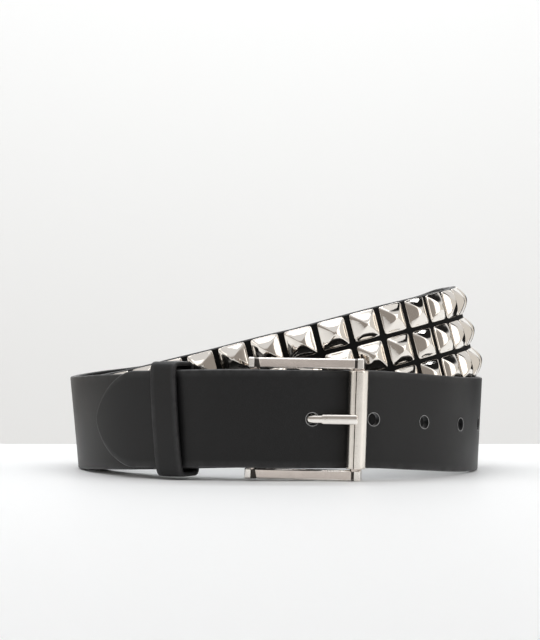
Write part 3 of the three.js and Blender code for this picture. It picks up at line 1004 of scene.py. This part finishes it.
    def row_of(self, rows: list[float], length: float) -> int:
        """Returns the number of the row nearest to a length."""
        return min(range(len(rows)), key=lambda i: abs(rows[i] - length))

    def hole_cells(self, rows: list[float]) -> set[tuple[int, int]]:
        """Finds the cells that the holes take the place of.

        Args:
            rows: Lengths of the rows.

        Returns:
            The cells, by row and line.
        """
        cells = set()
        span = range(-HOLE_REACH, HOLE_REACH)
        for hole in self.holes:
            middle = self.row_of(rows, hole)
            cells |= {(middle + i, self.centre + j) for i in span for j in span}
        return cells

    def slot_rows(self, rows: list[float]) -> tuple[int, int]:
        """Returns the first and last row of the prong's slot."""
        return (self.row_of(rows, self.bend_start - self.slot_before),
                self.row_of(rows, self.bend_end + self.slot_after))

    def slot_cells(self, rows: list[float]) -> set[tuple[int, int]]:
        """Finds the cells that the prong's slot takes away.

        Args:
            rows: Lengths of the rows.

        Returns:
            The cells, by row and line.
        """
        first, last = self.slot_rows(rows)
        across = range(self.centre - SLOT_REACH, self.centre + SLOT_REACH)
        return {(i, j) for i in range(first, last) for j in across}

    def close_end(self, draft: Draft, outer: list[int], inner: list[int], upper: list[int],
                  lower: list[int]) -> None:
        """Closes the cut end of the fold with rounded edges.

        Args:
            draft: The drawing.
            outer: Last row of the outer face.
            inner: Last row of the inner face.
            upper: Last row of the upper edge.
            lower: Last row of the lower edge.
        """
        before = outer
        for k, (inset, off) in enumerate(self.profile):
            between = [draft.point(self.spot(self.full_length, v, inset, off), 1.0)
                       for v in self.lines[1:-1]]
            row = [lower[k], *between, upper[k]]
            draft.bridge(before, row, closed=False)
            before = row
        draft.bridge(before, inner, closed=False)

    def add_hole(self, draft: Draft, rows: list[float], outer: Grid, inner: Grid, hole: float) -> None:
        """Draws one punched hole with its pressed rims, one band of which is painted light grey as a
        highlight.

        Args:
            draft: The drawing.
            rows: Lengths of the rows.
            outer: Points of the outer face, by row and line.
            inner: Points of the inner face.
            hole: Length of the hole's middle.
        """
        middle = self.row_of(rows, hole)
        span = range(-HOLE_REACH, HOLE_REACH + 1)
        around = [(i, -HOLE_REACH) for i in span] + [(HOLE_REACH, j) for j in span][1:]
        around += [(-i, -j) for i, j in around][1:-1]
        turns = [math.atan2(j, i) for i, j in around]
        radius, depth = self.hole_diameter / 2, self.coil.leather
        halfway = [(radius + RIM_OUTER[0][0] + self.cell * math.hypot(i, j)) / 2 for i, j in around]

        def ring(reaches: list[float], off: float) -> list[int]:
            """Adds a ring of points at distances from the hole's middle."""
            return [draft.point(self.place(hole + reach * math.cos(turn), reach * math.sin(turn), off))
                    for reach, turn in zip(reaches, turns)]

        before = ring(halfway, 0.0)
        draft.bridge([outer[middle + i][self.centre + j] for i, j in around], before)
        for k, (grow, off) in enumerate([*RIM_OUTER, *[(grow, off - depth) for grow, off in RIM_INNER]]):
            after = ring([radius + grow] * len(around), off)
            draft.bridge(before, after, (Face.HOLE_RIM_HIGHLIGHT if k == HIGHLIGHT_RING else Face.GRAIN_SIDE).value)
            before = after
        after = ring(halfway, -depth)
        draft.bridge(before, after, Face.FLESH_SIDE.value)
        draft.bridge(after, [inner[middle + i][self.centre + j] for i, j in around], Face.FLESH_SIDE.value)

    def add_slot(self, draft: Draft, rows: list[float], outer: Grid, inner: Grid) -> None:
        """Draws the walls of the prong's slot.

        Args:
            draft: The drawing.
            rows: Lengths of the rows.
            outer: Points of the outer face, by row and line.
            inner: Points of the inner face.
        """
        first, last = self.slot_rows(rows)
        low, high = self.centre - SLOT_REACH, self.centre + SLOT_REACH
        around = [(i, low) for i in range(first, last + 1)]
        around += [(last, j) for j in range(low + 1, high + 1)]
        around += [(i, high) for i in range(last - 1, first - 1, -1)]
        around += [(first, j) for j in range(high - 1, low, -1)]
        draft.bridge([outer[i][j] for i, j in around], [inner[i][j] for i, j in around])


@dataclass
class StudField:
    """The rows of square pyramid studs pressed on the strap's outer face."""

    coil: Coil
    size: float = 11.3
    column_pitch: float = 13.5
    row_pitch: float = 12.9
    row_count: int = 3
    first_line: float = 249.7
    to_buckle: float = 155.0
    corner_power: float = 11.0
    fullness: float = 0.98
    roundness: float = 1.7
    skirt: float = 0.5
    stretch_inset: float = 3.6
    brim: float = 0.45
    foot_inset: float = 0.26
    side_marks: tuple[float, ...] = (-1.0, -0.965, -0.9, -0.6, 0.0, 0.6, 0.9, 0.965)
    slope_shares: tuple[float, ...] = (0.985, 0.93, 0.84, 0.72, 0.58, 0.43, 0.29, 0.17, 0.08)
    sharp_angle: float = 50.0

    @property
    def column_count(self) -> int:
        """How many columns of studs fit on the strap."""
        return math.floor((self.coil.strap_length - self.to_buckle - self.first_line) / self.column_pitch)

    @property
    def stretch(self) -> Plan:
        """Lengths between which the leather lies between the studs."""
        end = self.first_line + self.column_count * self.column_pitch
        return self.first_line + self.stretch_inset, end - self.stretch_inset

    def levels(self) -> list[tuple[float, float, float]]:
        """Draws a stud's profile from the wall to the apex.

        Returns:
            Half size, height and edge mark of each ring.
        """
        half, top = self.size / 2, self.coil.stud_height * self.fullness
        rings = [(half, -self.skirt, 0.0), (half, 0.24, 0.0), (half - 0.06, 0.36, 1.0),
                 (half - 0.17, self.brim, 1.0)]
        for share in self.slope_shares:
            rise = (top - self.brim) * (1 - share ** self.roundness)
            rings.append(((half - self.foot_inset) * share, self.brim + rise, 0.0))
        return rings

    def template(self) -> tuple[list[list[Vector]], list[list[float]]]:
        """Draws one stud, lying flat.

        Returns:
            Its rings and their edge marks.
        """
        square = []
        for quarter in range(4):
            turn = Matrix.Rotation(math.radians(90 * quarter), 3, "Z")
            square += [turn @ Vector((1.0, mark, 0.0)) for mark in self.side_marks]
        power = self.corner_power
        drawn = [p / (abs(p.x) ** power + abs(p.y) ** power) ** (1 / power) for p in square]
        rings, marks = [], []
        for reach, height, mark in self.levels():
            rings.append([Vector((p.x * reach, p.y * reach, height)) for p in drawn])
            marks.append([mark] * len(drawn))
        return rings, marks

    def build(self, material: bpy.types.Material) -> bpy.types.Object:
        """Builds the field.

        Args:
            material: The studs' metal.

        Returns:
            The piece.
        """
        draft = Draft("stud_field")
        rings, marks = self.template()
        margin = (self.coil.strap_width - (self.row_count - 1) * self.row_pitch - self.size) / 2
        for column in range(self.column_count):
            here = self.coil.station(self.first_line + (column + 0.5) * self.column_pitch)
            for row in range(self.row_count):
                middle = here.edge + here.across * (margin + row * self.row_pitch + self.size / 2)
                before: list[int] = []
                for ring, row_marks in zip(rings, marks):
                    places = [middle + here.along * p.x + here.across * p.y + here.out * p.z for p in ring]
                    points = [draft.point(place, mark) for place, mark in zip(places, row_marks)]
                    if before:
                        draft.bridge(before, points)
                    else:
                        draft.face(tuple(reversed(points)))
                    before = points
                apex = draft.point(middle + here.out * (self.coil.stud_height * self.fullness))
                for i, point in enumerate(before):
                    draft.face((point, before[(i + 1) % len(before)], apex))
        return hand_over(draft.finish(self.coil, [material], self.sharp_angle), "stud_metal", "studs")


# An arm's rings from its end: how far along, and how far its faces are drawn in there.
ARM_RELIEF = 0.12
ARM_END = ((0.0, 0.34), (0.12, 0.14), (0.34, 0.0))
LEFT_NOTCH = ((0.0, 0.06), (0.25, 0.4), (1.2, 0.5), (2.1, 0.3), (2.4, ARM_RELIEF))
RIGHT_NOTCH = ((0.0, 0.06), (0.2, 0.36), (0.6, 0.44), (1.2, 0.3), (1.5, ARM_RELIEF))
BLOCK_BANDS = range(4)
NOTCH_BANDS = range(4, 7)
SLANTED_RINGS = (6, 7)
# Degrees from the roller's seam in which its even points are left out.
SEAM_CLEAR = 8
# Where the prong's sections lie on its shank, on its rise, past its step and at its nose.
SHANK_SHARES = (0.35, 0.7)
RISE_SHARES = (0.12, 0.24, 0.36, 0.48, 0.56)
STEP_SHARES = (0.0, 0.02, 0.12, 0.24)
NOSE_SHARES = (-1.2, -0.5, 0.0, 0.35, 0.62, 0.82, 0.94, 1.0)


@dataclass
class Buckle:
    """The rectangular roller buckle: frame, roller and prong, placed on the coil's front."""

    coil: Coil
    chamfer: float = 0.5
    notch_slant: float = 0.25
    skew: float = 1.3
    prong_width: float = 3.9
    prong_neck: float = 3.128
    prong_thickness: float = 2.1
    shank_thickness: float = 1.764
    prong_bend: float = 11.55
    prong_step: float = 0.62
    prong_eye_wall: float = 1.8
    seam_width: float = 0.42
    seam_depth: float = 0.45
    seam_angle: float = -5.0
    bar_sink: float = 0.6
    curl_sweep: float = 318.0
    curl_points: int = 22
    bend_points: int = 6
    nose_rings: int = 5
    nose_power: float = 2.2
    section_points: int = 24
    side_power: float = 3.6
    dome_power: float = 3.2
    base_power: float = 5.0

    def __post_init__(self) -> None:
        """Places the buckle's own frame: X along it, Y into it and Z up."""
        coil, sizes = self.coil, self.coil.buckle
        self.sizes = sizes
        self.opening = coil.strap_width + 2 * sizes.frame_clearance
        self.height = self.opening + 2 * sizes.arm_height
        self.along = (coil.far_bar - coil.pivot).normalized()
        self.out = Vector((self.along.y, -self.along.x, 0))
        middle = coil.pivot + self.along * (sizes.bar_spacing / 2)
        middle.z = self.height / 2 + sizes.swing
        skewed = Matrix.Identity(4)
        skewed[0][2] = math.tan(math.radians(self.skew))
        self.place = (Matrix.Translation(middle)
                      @ Matrix.Rotation(math.atan2(self.along.y, self.along.x), 4, "Z")
                      @ Matrix.Rotation(math.radians(sizes.frame_turn), 4, "Y") @ skewed)

    def arm_section(self, depth: float, height: float) -> tuple[list[Plan], list[float]]:
        """Draws the section of an arm, with chamfered and slightly rounded edges.

        Args:
            depth: Its size front to back.
            height: Its upright size.

        Returns:
            Places of the section, and their edge marks.
        """
        across, up, cut = depth / 2, height / 2, self.chamfer
        corner = [(across, up - cut), (across - cut, up)]
        corners = [*corner, *[(-y, z) for y, z in reversed(corner)], *[(-y, -z) for y, z in corner],
                   *[(y, -z) for y, z in reversed(corner)]]
        places, marks = [], []
        for i, (y, z) in enumerate(corners):
            here = Vector((y, z))
            before = (Vector(corners[i - 1]) - here).normalized()
            after = (Vector(corners[(i + 1) % 8]) - here).normalized()
            first, last = (0.1, 1.0) if i % 2 == 0 else (1.0, 0.1)
            rounded = ((before, 0.14, first), (before, 0.06, 1.0), (before + after, 0.02, 1.0),
                       (after, 0.06, 1.0), (after, 0.14, last))
            for way, reach, mark in rounded:
                places.append(tuple(here + way * reach))
                marks.append(mark)
        return places, marks

    def arm(self, draft: Draft, level: int) -> None:
        """Draws one arm with its end blocks and the curved notches beside them.

        Args:
            draft: The drawing.
            level: 1 for the upper arm and -1 for the lower one.
        """
        sizes = self.sizes
        half = sizes.frame_length / 2
        block = sizes.corner_length
        flat = [*ARM_END, (block - ARM_END[1][0], 0.0)]
        left = flat + [(block + along, relief) for along, relief in LEFT_NOTCH]
        right = flat + [(block + along, relief) for along, relief in RIGHT_NOTCH]
        ends = [(along - half, relief) for along, relief in left]
        ends += [(half - along, relief) for along, relief in reversed(right)]
        count = len(ends)
        rings, marks = [], []
        lift = level * (self.height - sizes.arm_height) / 2
        for i, (along, relief) in enumerate(ends):
            height = sizes.arm_height - 2 * min(relief, ARM_RELIEF)
            section, mark = self.arm_section(sizes.arm_depth - 2 * relief, height)
            slant = self.notch_slant if i in SLANTED_RINGS else 0.0
            rings.append([self.place @ Vector((along - slant * z, y, z + lift)) for y, z in section])
            marks.append(mark)
        looks = dict.fromkeys(BLOCK_BANDS, Plating.BLOCK.value)
        looks |= dict.fromkeys(NOTCH_BANDS, Plating.NOTCH.value)
        looks |= {count - 2 - band: look for band, look in looks.items()}
        draft.loft(rings, marks, sides=looks)

    def lathe(self, draft: Draft, along: float, profile: list[Plan], looped: bool = False, sides: int = 48,
              groove: float = 0.0) -> None:
        """Turns a profile about an upright line of the buckle.

        Args:
            draft: The drawing.
            along: Where the line stands along the buckle.
            profile: Radius and height of each ring.
            looped: Whether the profile closes on itself.
            sides: Points round.
            groove: Depth of the seam cut in the outer rings, at the seam's angle.
        """
        centre = self.seam_angle - 90
        angles = [centre + 360 * i / sides for i in range(sides)]
        seam_turn = math.degrees(self.seam_width / 2 / (self.sizes.roller_diameter / 2))
        if groove:
            rest = [centre + SEAM_CLEAR + (360 - 2 * SEAM_CLEAR) * i / sides for i in range(sides + 1)]
            lips = [centre, centre + seam_turn, centre + 1.5 * seam_turn]
            angles = [*lips, *rest, centre - 1.5 * seam_turn, centre - seam_turn]
        widest = max(radius for radius, _ in profile)
        rings, marks = [], []
        for radius, height in profile:
            ring, mark = [], []
            for angle in angles:
                deep = groove if angle == centre and radius > widest - 0.5 else 0.0
                mark.append(1.0 if deep else 0.0)
                around = plan_point(angle + 90, radius - deep)
                ring.append(self.place @ (around + Vector((along, 0, height))))
            rings.append(ring)
            marks.append(mark)
        draft.loft(rings, marks, looped=looped)

    def build_frame(self, materials: list[bpy.types.Material]) -> bpy.types.Object:
        """Builds the frame: two arms, the pivot bar and the far bar.

        Args:
            materials: The frame's metals, in the order of the platings.

        Returns:
            The piece.
        """
        sizes = self.sizes
        draft = Draft("buckle_frame_metal")
        for level in (-1, 1):
            self.arm(draft, level)
        tall = self.opening / 2 + self.bar_sink
        for share, diameter in ((-0.5, sizes.pivot_diameter), (0.5, sizes.far_bar_diameter)):
            bar = [(diameter / 2, -tall), (diameter / 2, tall)]
            self.lathe(draft, share * sizes.bar_spacing, bar, sides=32)
        return hand_over(draft.finish(self.coil, materials, 30.0), "buckle_metal", "buckle_frame")

    def build_roller(self, material: bpy.types.Material) -> bpy.types.Object:
        """Builds the roller, a rolled tube with eased ends and its seam.

        Args:
            material: The roller's metal.

        Returns:
            The piece.
        """
        sizes = self.sizes
        draft = Draft("buckle_roller_metal")
        top = self.opening / 2 - sizes.roller_end_gap
        outer, bore = sizes.roller_diameter / 2, sizes.far_bar_diameter / 2 + sizes.running_gap
        half = [(bore, top - 0.3), (bore, top - 0.15), (bore + 0.15, top), (outer - 0.4, top),
                (outer - 0.12, top - 0.1), (outer, top - 0.4), (outer, top - 0.6), (outer, top - 0.9)]
        profile = half + [(radius, -height) for radius, height in reversed(half)]
        self.lathe(draft, sizes.bar_spacing / 2, profile, looped=True, sides=56, groove=self.seam_depth)
        return hand_over(draft.finish(self.coil, [material], 35.0), "buckle_metal", "buckle_roller")

    def prong_spine(self) -> list[Vector]:
        """Draws the prong's centreline in the plan: a curl round the pivot, the shank and the rise.

        Returns:
            Its points.
        """
        coil, sizes = self.coil, self.sizes
        half = self.prong_thickness / 2
        curl = coil.pivot_radius + sizes.running_gap + self.prong_eye_wall / 2
        orbit = coil.radius - coil.leather - coil.layer_gap - half - sizes.running_gap
        under = plan_point(coil.pivot_angle + self.prong_bend, orbit)
        reach = sizes.roller_diameter / 2 + sizes.running_gap + half - 0.2
        crown = coil.pivot + self.along * sizes.bar_spacing + self.out * reach
        toward = under - coil.pivot
        leave = math.atan2(toward.y, toward.x) - math.acos(curl / toward.length)
        spine = []
        for i in range(self.curl_points):
            turn = leave - math.radians(self.curl_sweep * (1 - i / (self.curl_points - 1)))
            spine.append(coil.pivot + Vector((math.cos(turn), math.sin(turn), 0)) * curl)
        start = spine[-1]
        spine += [start.lerp(under, share) for share in SHANK_SHARES]
        rise = (crown - under).normalized()
        before, after = under + (start - under).normalized() * 2, under + rise * 3
        for i in range(self.bend_points):
            t = i / (self.bend_points - 1)
            spine.append(before.lerp(under, t).lerp(under.lerp(after, t), t))
        spine += [after.lerp(crown, share) for share in RISE_SHARES]
        step = self.step_place(under, crown)
        spine += [after.lerp(crown, step + share) for share in STEP_SHARES]
        end = crown + rise * half
        return spine + [crown.lerp(end, share) for share in NOSE_SHARES]

    def step_place(self, under: Vector, crown: Vector) -> float:
        """Returns where the prong widens, as a share of its rise."""
        step = self.coil.pivot + self.along * (self.sizes.bar_spacing * self.prong_step)
        return min(0.72, (step.x - under.x) / (crown.x - under.x))

    def build_prong(self, material: bpy.types.Material) -> bpy.types.Object:
        """Builds the prong, a bent bar with a domed top and a wider, rounded end.

        Args:
            material: The prong's metal.

        Returns:
            The piece.
        """
        coil = self.coil
        spine = self.prong_spine()
        draft = Draft("buckle_prong_metal")
        height = coil.on_strap(coil.tip_to_used_hole, coil.strap_width / 2, 0).z
        count = len(spine)
        wide_from = count - len(NOSE_SHARES) - len(STEP_SHARES) + 1
        thick_from = self.curl_points + len(SHANK_SHARES) + 1
        rings = []
        for i, point in enumerate(spine):
            ahead = spine[min(i + 1, count - 1)] - spine[max(i - 1, 0)]
            side = Vector((ahead.y, -ahead.x, 0)).normalized()
            width = self.prong_width if i >= wide_from else self.prong_neck
            thick = self.prong_thickness if i >= thick_from else self.shank_thickness
            if i >= count - self.nose_rings:
                reach = (i - (count - self.nose_rings - 1)) / self.nose_rings
                close = math.sqrt(max(0.0, 1 - reach ** self.nose_power))
                width, thick = width * (0.35 + 0.65 * close), thick * (0.25 + 0.75 * close)
            rings.append(self.prong_ring(point, side, width, thick, height))
        draft.loft(rings)
        return hand_over(draft.finish(coil, [material], 45.0), "buckle_metal", "buckle_prong")

    def prong_ring(self, point: Vector, side: Vector, width: float, thick: float,
                   height: float) -> list[Vector]:
        """Draws one section of the prong.

        Args:
            point: The centreline there, in the plan.
            side: The way out of the coil.
            width: Upright size.
            thick: Size outward.
            height: Height of the centreline.

        Returns:
            The ring's points.
        """
        ring = []
        for k in range(self.section_points):
            turn = 2 * math.pi * k / self.section_points
            cosine, sine = math.cos(turn), math.sin(turn)
            power = 2 / self.dome_power if sine > 0 else 2 / self.base_power
            up = math.copysign(abs(cosine) ** (2 / self.side_power), cosine) * width / 2
            out = math.copysign(abs(sine) ** power, sine) * thick / 2
            ring.append(Vector((point.x, point.y, height + up)) + side * out)
        return ring


@dataclass
class Keeper:
    """The leather loop round the strap's layers, bare on its front."""

    coil: Coil
    width: float = 11.3
    thickness: float = 1.8
    angle: float = -30.0
    side_gap: float = 0.5
    top_gap: float = 1.3
    corner: float = 1.2
    edge_radius: float = 0.5
    bulge: float = 0.9
    lean: float = 4.1
    crown_height: float = 0.1
    upright_parts: int = 14
    level_parts: int = 4

    def inner_box(self) -> tuple[float, float, float, float]:
        """Finds the room that the loop leaves round the strap's layers.

        Returns:
            Nearest and furthest from the axis, lowest and highest.
        """
        coil = self.coil
        half_turn = self.width / 2 / (coil.radius * QUARTER)
        edges = []
        for offset in (-half_turn, 0, half_turn):
            turn = self.angle / 90 + offset
            edges += [coil.lower_edge(turn), coil.lower_edge(len(coil.corners) - 2 + turn)]
        inner = min(math.hypot(e.x, e.y) for e in edges) - 2 * coil.leather - self.side_gap
        bottom = min(e.z for e in edges) - self.side_gap
        top = max(e.z for e in edges) + coil.strap_width + self.top_gap
        return inner, coil.radius + self.side_gap, bottom, top

    def loop(self) -> list[tuple[Vector, Vector, float]]:
        """Draws the loop's inner line.

        Returns:
            Its points, their ways outward and their shares of the front's bulge.
        """
        near, far, bottom, top = self.inner_box()
        found = []
        radius = self.corner
        centres = ((far - radius, top - radius, 0), (near + radius, top - radius, 90),
                   (near + radius, bottom + radius, 180), (far - radius, bottom + radius, 270))
        for index, (x, z, start) in enumerate(centres):
            for k in range(7):
                turn = math.radians(start + 15 * k)
                way = Vector((math.cos(turn), 0, math.sin(turn)))
                found.append((Vector((x, 0, z)) + way * radius, way, 0.0))
            after = centres[(index + 1) % 4]
            finish = math.radians(start + 90)
            way = Vector((math.cos(finish), 0, math.sin(finish)))
            begin = Vector((x, 0, z)) + way * radius
            end = Vector((after[0], 0, after[1])) + way * radius
            parts = self.upright_parts if index % 2 else self.level_parts
            for k in range(1, parts):
                share = k / parts
                bulge = math.sin(math.pi * share) ** 0.7 if index == 3 else 0.0
                found.append((begin.lerp(end, share), way, bulge))
        return found

    def build(self, material: bpy.types.Material) -> bpy.types.Object:
        """Builds the keeper.

        Args:
            material: The keeper's leather.

        Returns:
            The piece.
        """
        draft = Draft("keeper_loop")
        turn = Matrix.Rotation(math.radians(self.angle - 90), 3, "Z")
        half, wall, soft = self.width / 2, self.thickness, self.edge_radius
        arc = [math.radians(22.5 * k) for k in range(5)]
        outer_left = [(-half + soft - soft * math.cos(a), wall - soft + soft * math.sin(a)) for a in arc]
        outer_right = [(-across, out) for across, out in reversed(outer_left)]
        inner_right = [(half, soft * 0.6), (half - soft * 0.2, soft * 0.2), (half - soft * 0.6, 0.0)]
        inner_left = [(-across, out) for across, out in reversed(inner_right)]
        crown = [(share * half, wall + self.crown_height * (1 - share * share))
                 for share in (-0.6, -0.3, 0, 0.3, 0.6)]
        section = outer_left + crown + outer_right + inner_right + inner_left
        # Marked edges take the keeper's lighter edge colour, as wear and as a painted highlight.
        marks = [1.0] * 5 + [0.0] * 5 + [1.0] * 5 + [0.5] * 3 + [0.5] * 3
        _, _, bottom, top = self.inner_box()
        rings, ring_marks = [], []
        for point, way, bulge in self.loop():
            lifted = point + way * (self.bulge * bulge)
            drift = math.tan(math.radians(self.lean)) * ((bottom + top) / 2 - lifted.z) / self.coil.radius
            leaned = Matrix.Rotation(drift, 3, "Z") @ turn
            rings.append([leaned @ (lifted + way * out + Vector((0, across, 0)))
                          for across, out in section])
            ring_marks.append(marks)
        draft.loft(rings, ring_marks, looped=True)
        return hand_over(draft.finish(self.coil, [material], 45.0), "keeper_leather", "keeper")


@dataclass(frozen=True)
class Flag:
    """A dark card in the light around: where it stands, and the cosines at its edge and its middle."""

    way: Place
    edge: float
    middle: float


@dataclass(frozen=True)
class SoftLight:
    """A soft rectangular light: where it hangs and points, in metres, its size, watts and colour."""

    name: str
    place: Place
    target: Place
    size: Plan
    power: float
    colour: Colour

    def hang(self) -> None:
        """Adds the light to the scene."""
        data = bpy.data.lights.new(self.name, "AREA")
        data.shape = "RECTANGLE"
        data.size, data.size_y = self.size
        data.energy = self.power
        data.color = self.colour
        light = bpy.data.objects.new(self.name, data)
        light.location = self.place
        way = Vector(self.target) - Vector(self.place)
        light.rotation_euler = way.to_track_quat("-Z", "Y").to_euler()
        bpy.context.scene.collection.objects.link(light)


LIGHTS = (
    SoftLight("light_top", (0.0, 0.0, 1.5), (0.0, 0.0, 0.0), (1.8, 1.6), 8.0, (1, 1, 1)),
    SoftLight("light_right", (1.3, -0.7, 0.6), (0.0, 0.0, 0.05), (0.7, 1.0), 2.6, (1, 0.97, 0.93)),
    SoftLight("light_left", (-1.3, -0.6, 0.6), (0.0, 0.0, 0.05), (0.7, 1.0), 1.4, (1, 0.98, 0.95)),
    SoftLight("light_back", (0.0, 0.7, 1.3), (0.0, 1.6, 0.0), (1.6, 0.5), 13.5, (0.93, 0.97, 1)),
)
FLAGS = (Flag((0.42, 0.36, 0.83), 0.88, 0.93), Flag((0.56, 0.83, 0.0), 0.95, 0.975))


@dataclass
class Studio:
    """The pale floor and backdrop, the soft lights and the camera at the photograph's angle."""

    coil: Coil
    distance: float = 1.187
    eye_height: float = 0.07
    focal_pixels: float = 2857.0
    long_side: float = 640.0
    sensor_width: float = 36.0
    centre_x: float = 5.5
    centre_y: float = -19.8
    half_width: float = 3.0
    wall_place: float = 1.6
    wall_bottom: float = -1.5
    wall_height: float = 3.0
    wall_half_width: float = 0.7
    table_front: float = -4.0
    table_end: float = 0.204
    table_rounding: float = 0.004
    table_depth: float = 0.2
    sheet_colour: Colour = (0.92, 0.925, 0.925)
    sheet_roughness: float = 0.5
    above: Colour = (1.05, 1.05, 1.06)
    left_side: Colour = (0.62, 0.58, 0.53)
    right_side: Colour = (0.98, 0.94, 0.88)
    camera_side: Colour = (0.42, 0.385, 0.355)
    flag_shade: Colour = (0.02, 0.02, 0.02)
    world_strength: float = 0.72

    def build_sheet(self, name: str, section: list[Plan], half_width: float) -> bpy.types.Object:
        """Builds a wide sheet of the studio.

        Args:
            name: The sheet's name.
            section: Its section from front to back, as places in depth and height.
            half_width: How far it reaches to each side.

        Returns:
            The sheet.
        """
        mesh = bpy.data.meshes.new(name)
        points = [(x, y, z) for y, z in section for x in (-half_width, half_width)]
        faces = [(2 * i, 2 * i + 1, 2 * i + 3, 2 * i + 2) for i in range(len(section) - 1)]
        mesh.from_pydata(points, [], faces)
        material = bpy.data.materials.new(name)
        material.use_nodes = True
        shader = material.node_tree.nodes["Principled BSDF"]
        shader.inputs["Base Color"].default_value = (*self.sheet_colour, 1)
        shader.inputs["Roughness"].default_value = self.sheet_roughness
        mesh.materials.append(material)
        sheet = bpy.data.objects.new(name, mesh)
        bpy.context.scene.collection.objects.link(sheet)
        return sheet

    def build_ground(self) -> None:
        """Builds the table top, which ends a little way behind the belt, and the backdrop."""
        end, round_by = self.table_end, self.table_rounding
        turns = [math.radians(15 * k) for k in range(7)]
        rounding = [(end + round_by * math.sin(a), round_by * math.cos(a) - round_by) for a in turns]
        top = [(self.table_front, 0.0), (-1.0, 0.0), *rounding, (end + round_by, -self.table_depth)]
        self.build_sheet("studio_floor", top, self.half_width)
        wall = [(self.wall_place, self.wall_bottom), (self.wall_place, self.wall_height)]
        self.build_sheet("studio_backdrop", wall, self.wall_half_width)

    def build_world(self) -> None:
        """Builds the light around: bright above, cream beside, grey behind the camera, with dark flags."""
        world = bpy.data.worlds.new("studio_light")
        world.use_nodes = True
        bpy.context.scene.world = world
        make = NodeMaker(world.node_tree)
        way = make.add("ShaderNodeTexCoord").outputs["Generated"]
        x, y, z = make.add("ShaderNodeSeparateXYZ", {"Vector": way}).outputs
        behind = make.ramp(make.math("MULTIPLY", y, -1.0), 0.25, 0.8)
        level = make.ramp(make.math("ABSOLUTE", z), 0.2, 0.55, 1.0, 0.0)
        sides = make.mix(make.ramp(x, -0.7, 0.6), self.left_side, self.right_side)
        colour = make.mix(make.ramp(z, 0.1, 0.6), sides, self.above)
        for flag in FLAGS:
            toward = make.calc("ShaderNodeVectorMath", "DOT_PRODUCT", way, flag.way)
            colour = make.mix(make.ramp(toward, flag.edge, flag.middle), colour, self.flag_shade)
        colour = make.mix(make.math("MULTIPLY", behind, level), colour, self.camera_side)
        background = world.node_tree.nodes["Background"]
        make.fill(background, {"Color": colour, "Strength": self.world_strength})

    def build_camera(self) -> bpy.types.Object:
        """Builds the camera, level and straight on, framed as the photograph is.

        Returns:
            The camera.
        """
        data = bpy.data.cameras.new("photo_camera")
        data.sensor_width = self.sensor_width
        data.lens = self.focal_pixels / self.long_side * data.sensor_width
        data.shift_x = -self.centre_x / self.long_side
        data.shift_y = self.centre_y / self.long_side
        data.clip_end = 20.0
        camera = bpy.data.objects.new("photo_camera", data)
        axis = self.coil.offset * MM
        camera.location = (axis.x, axis.y - self.distance, self.eye_height)
        camera.rotation_euler = (math.radians(90), 0, 0)
        bpy.context.scene.collection.objects.link(camera)
        bpy.context.scene.camera = camera
        return camera

    def build(self) -> None:
        """Builds everything round the belt."""
        self.build_ground()
        self.build_world()
        for light in LIGHTS:
            light.hang()
        self.build_camera()
        bpy.context.scene.view_settings.view_transform = "Standard"


def main() -> None:
    """Builds the studio and the belt, piece by piece."""
    logging.basicConfig(level=logging.INFO, format="%(name)s: %(message)s")
    coil = Coil(BuckleSizes())
    LOG.info("strap of %.1f mm, axis at %.3f, %.3f mm", coil.strap_length, coil.offset.x, coil.offset.y)
    Studio(coil).build()
    groups = EffectGroups()
    looks = {finish.name: finish.build(groups) for finish in FINISHES}
    studs = StudField(coil)
    strap_looks = ("strap_grain_side", "strap_flesh_side", "hole_rim_painted_highlight", "strap_painted_shade_between_studs")
    Strap(coil).build([looks[name] for name in strap_looks], studs.stretch)
    studs.build(looks["stud_plating"])
    buckle = Buckle(coil)
    buckle.build_frame([looks[name] for name in ("arm_plating_painted_shade", "notch_shade", "bright_plating")])
    buckle.build_roller(looks["roller_plating"])
    buckle.build_prong(looks["bright_plating"])
    Keeper(coil).build(looks["keeper_grain_side"])
    bpy.context.view_layer.update()
    LOG.info("boxes written")


if __name__ == "__main__":
    main()
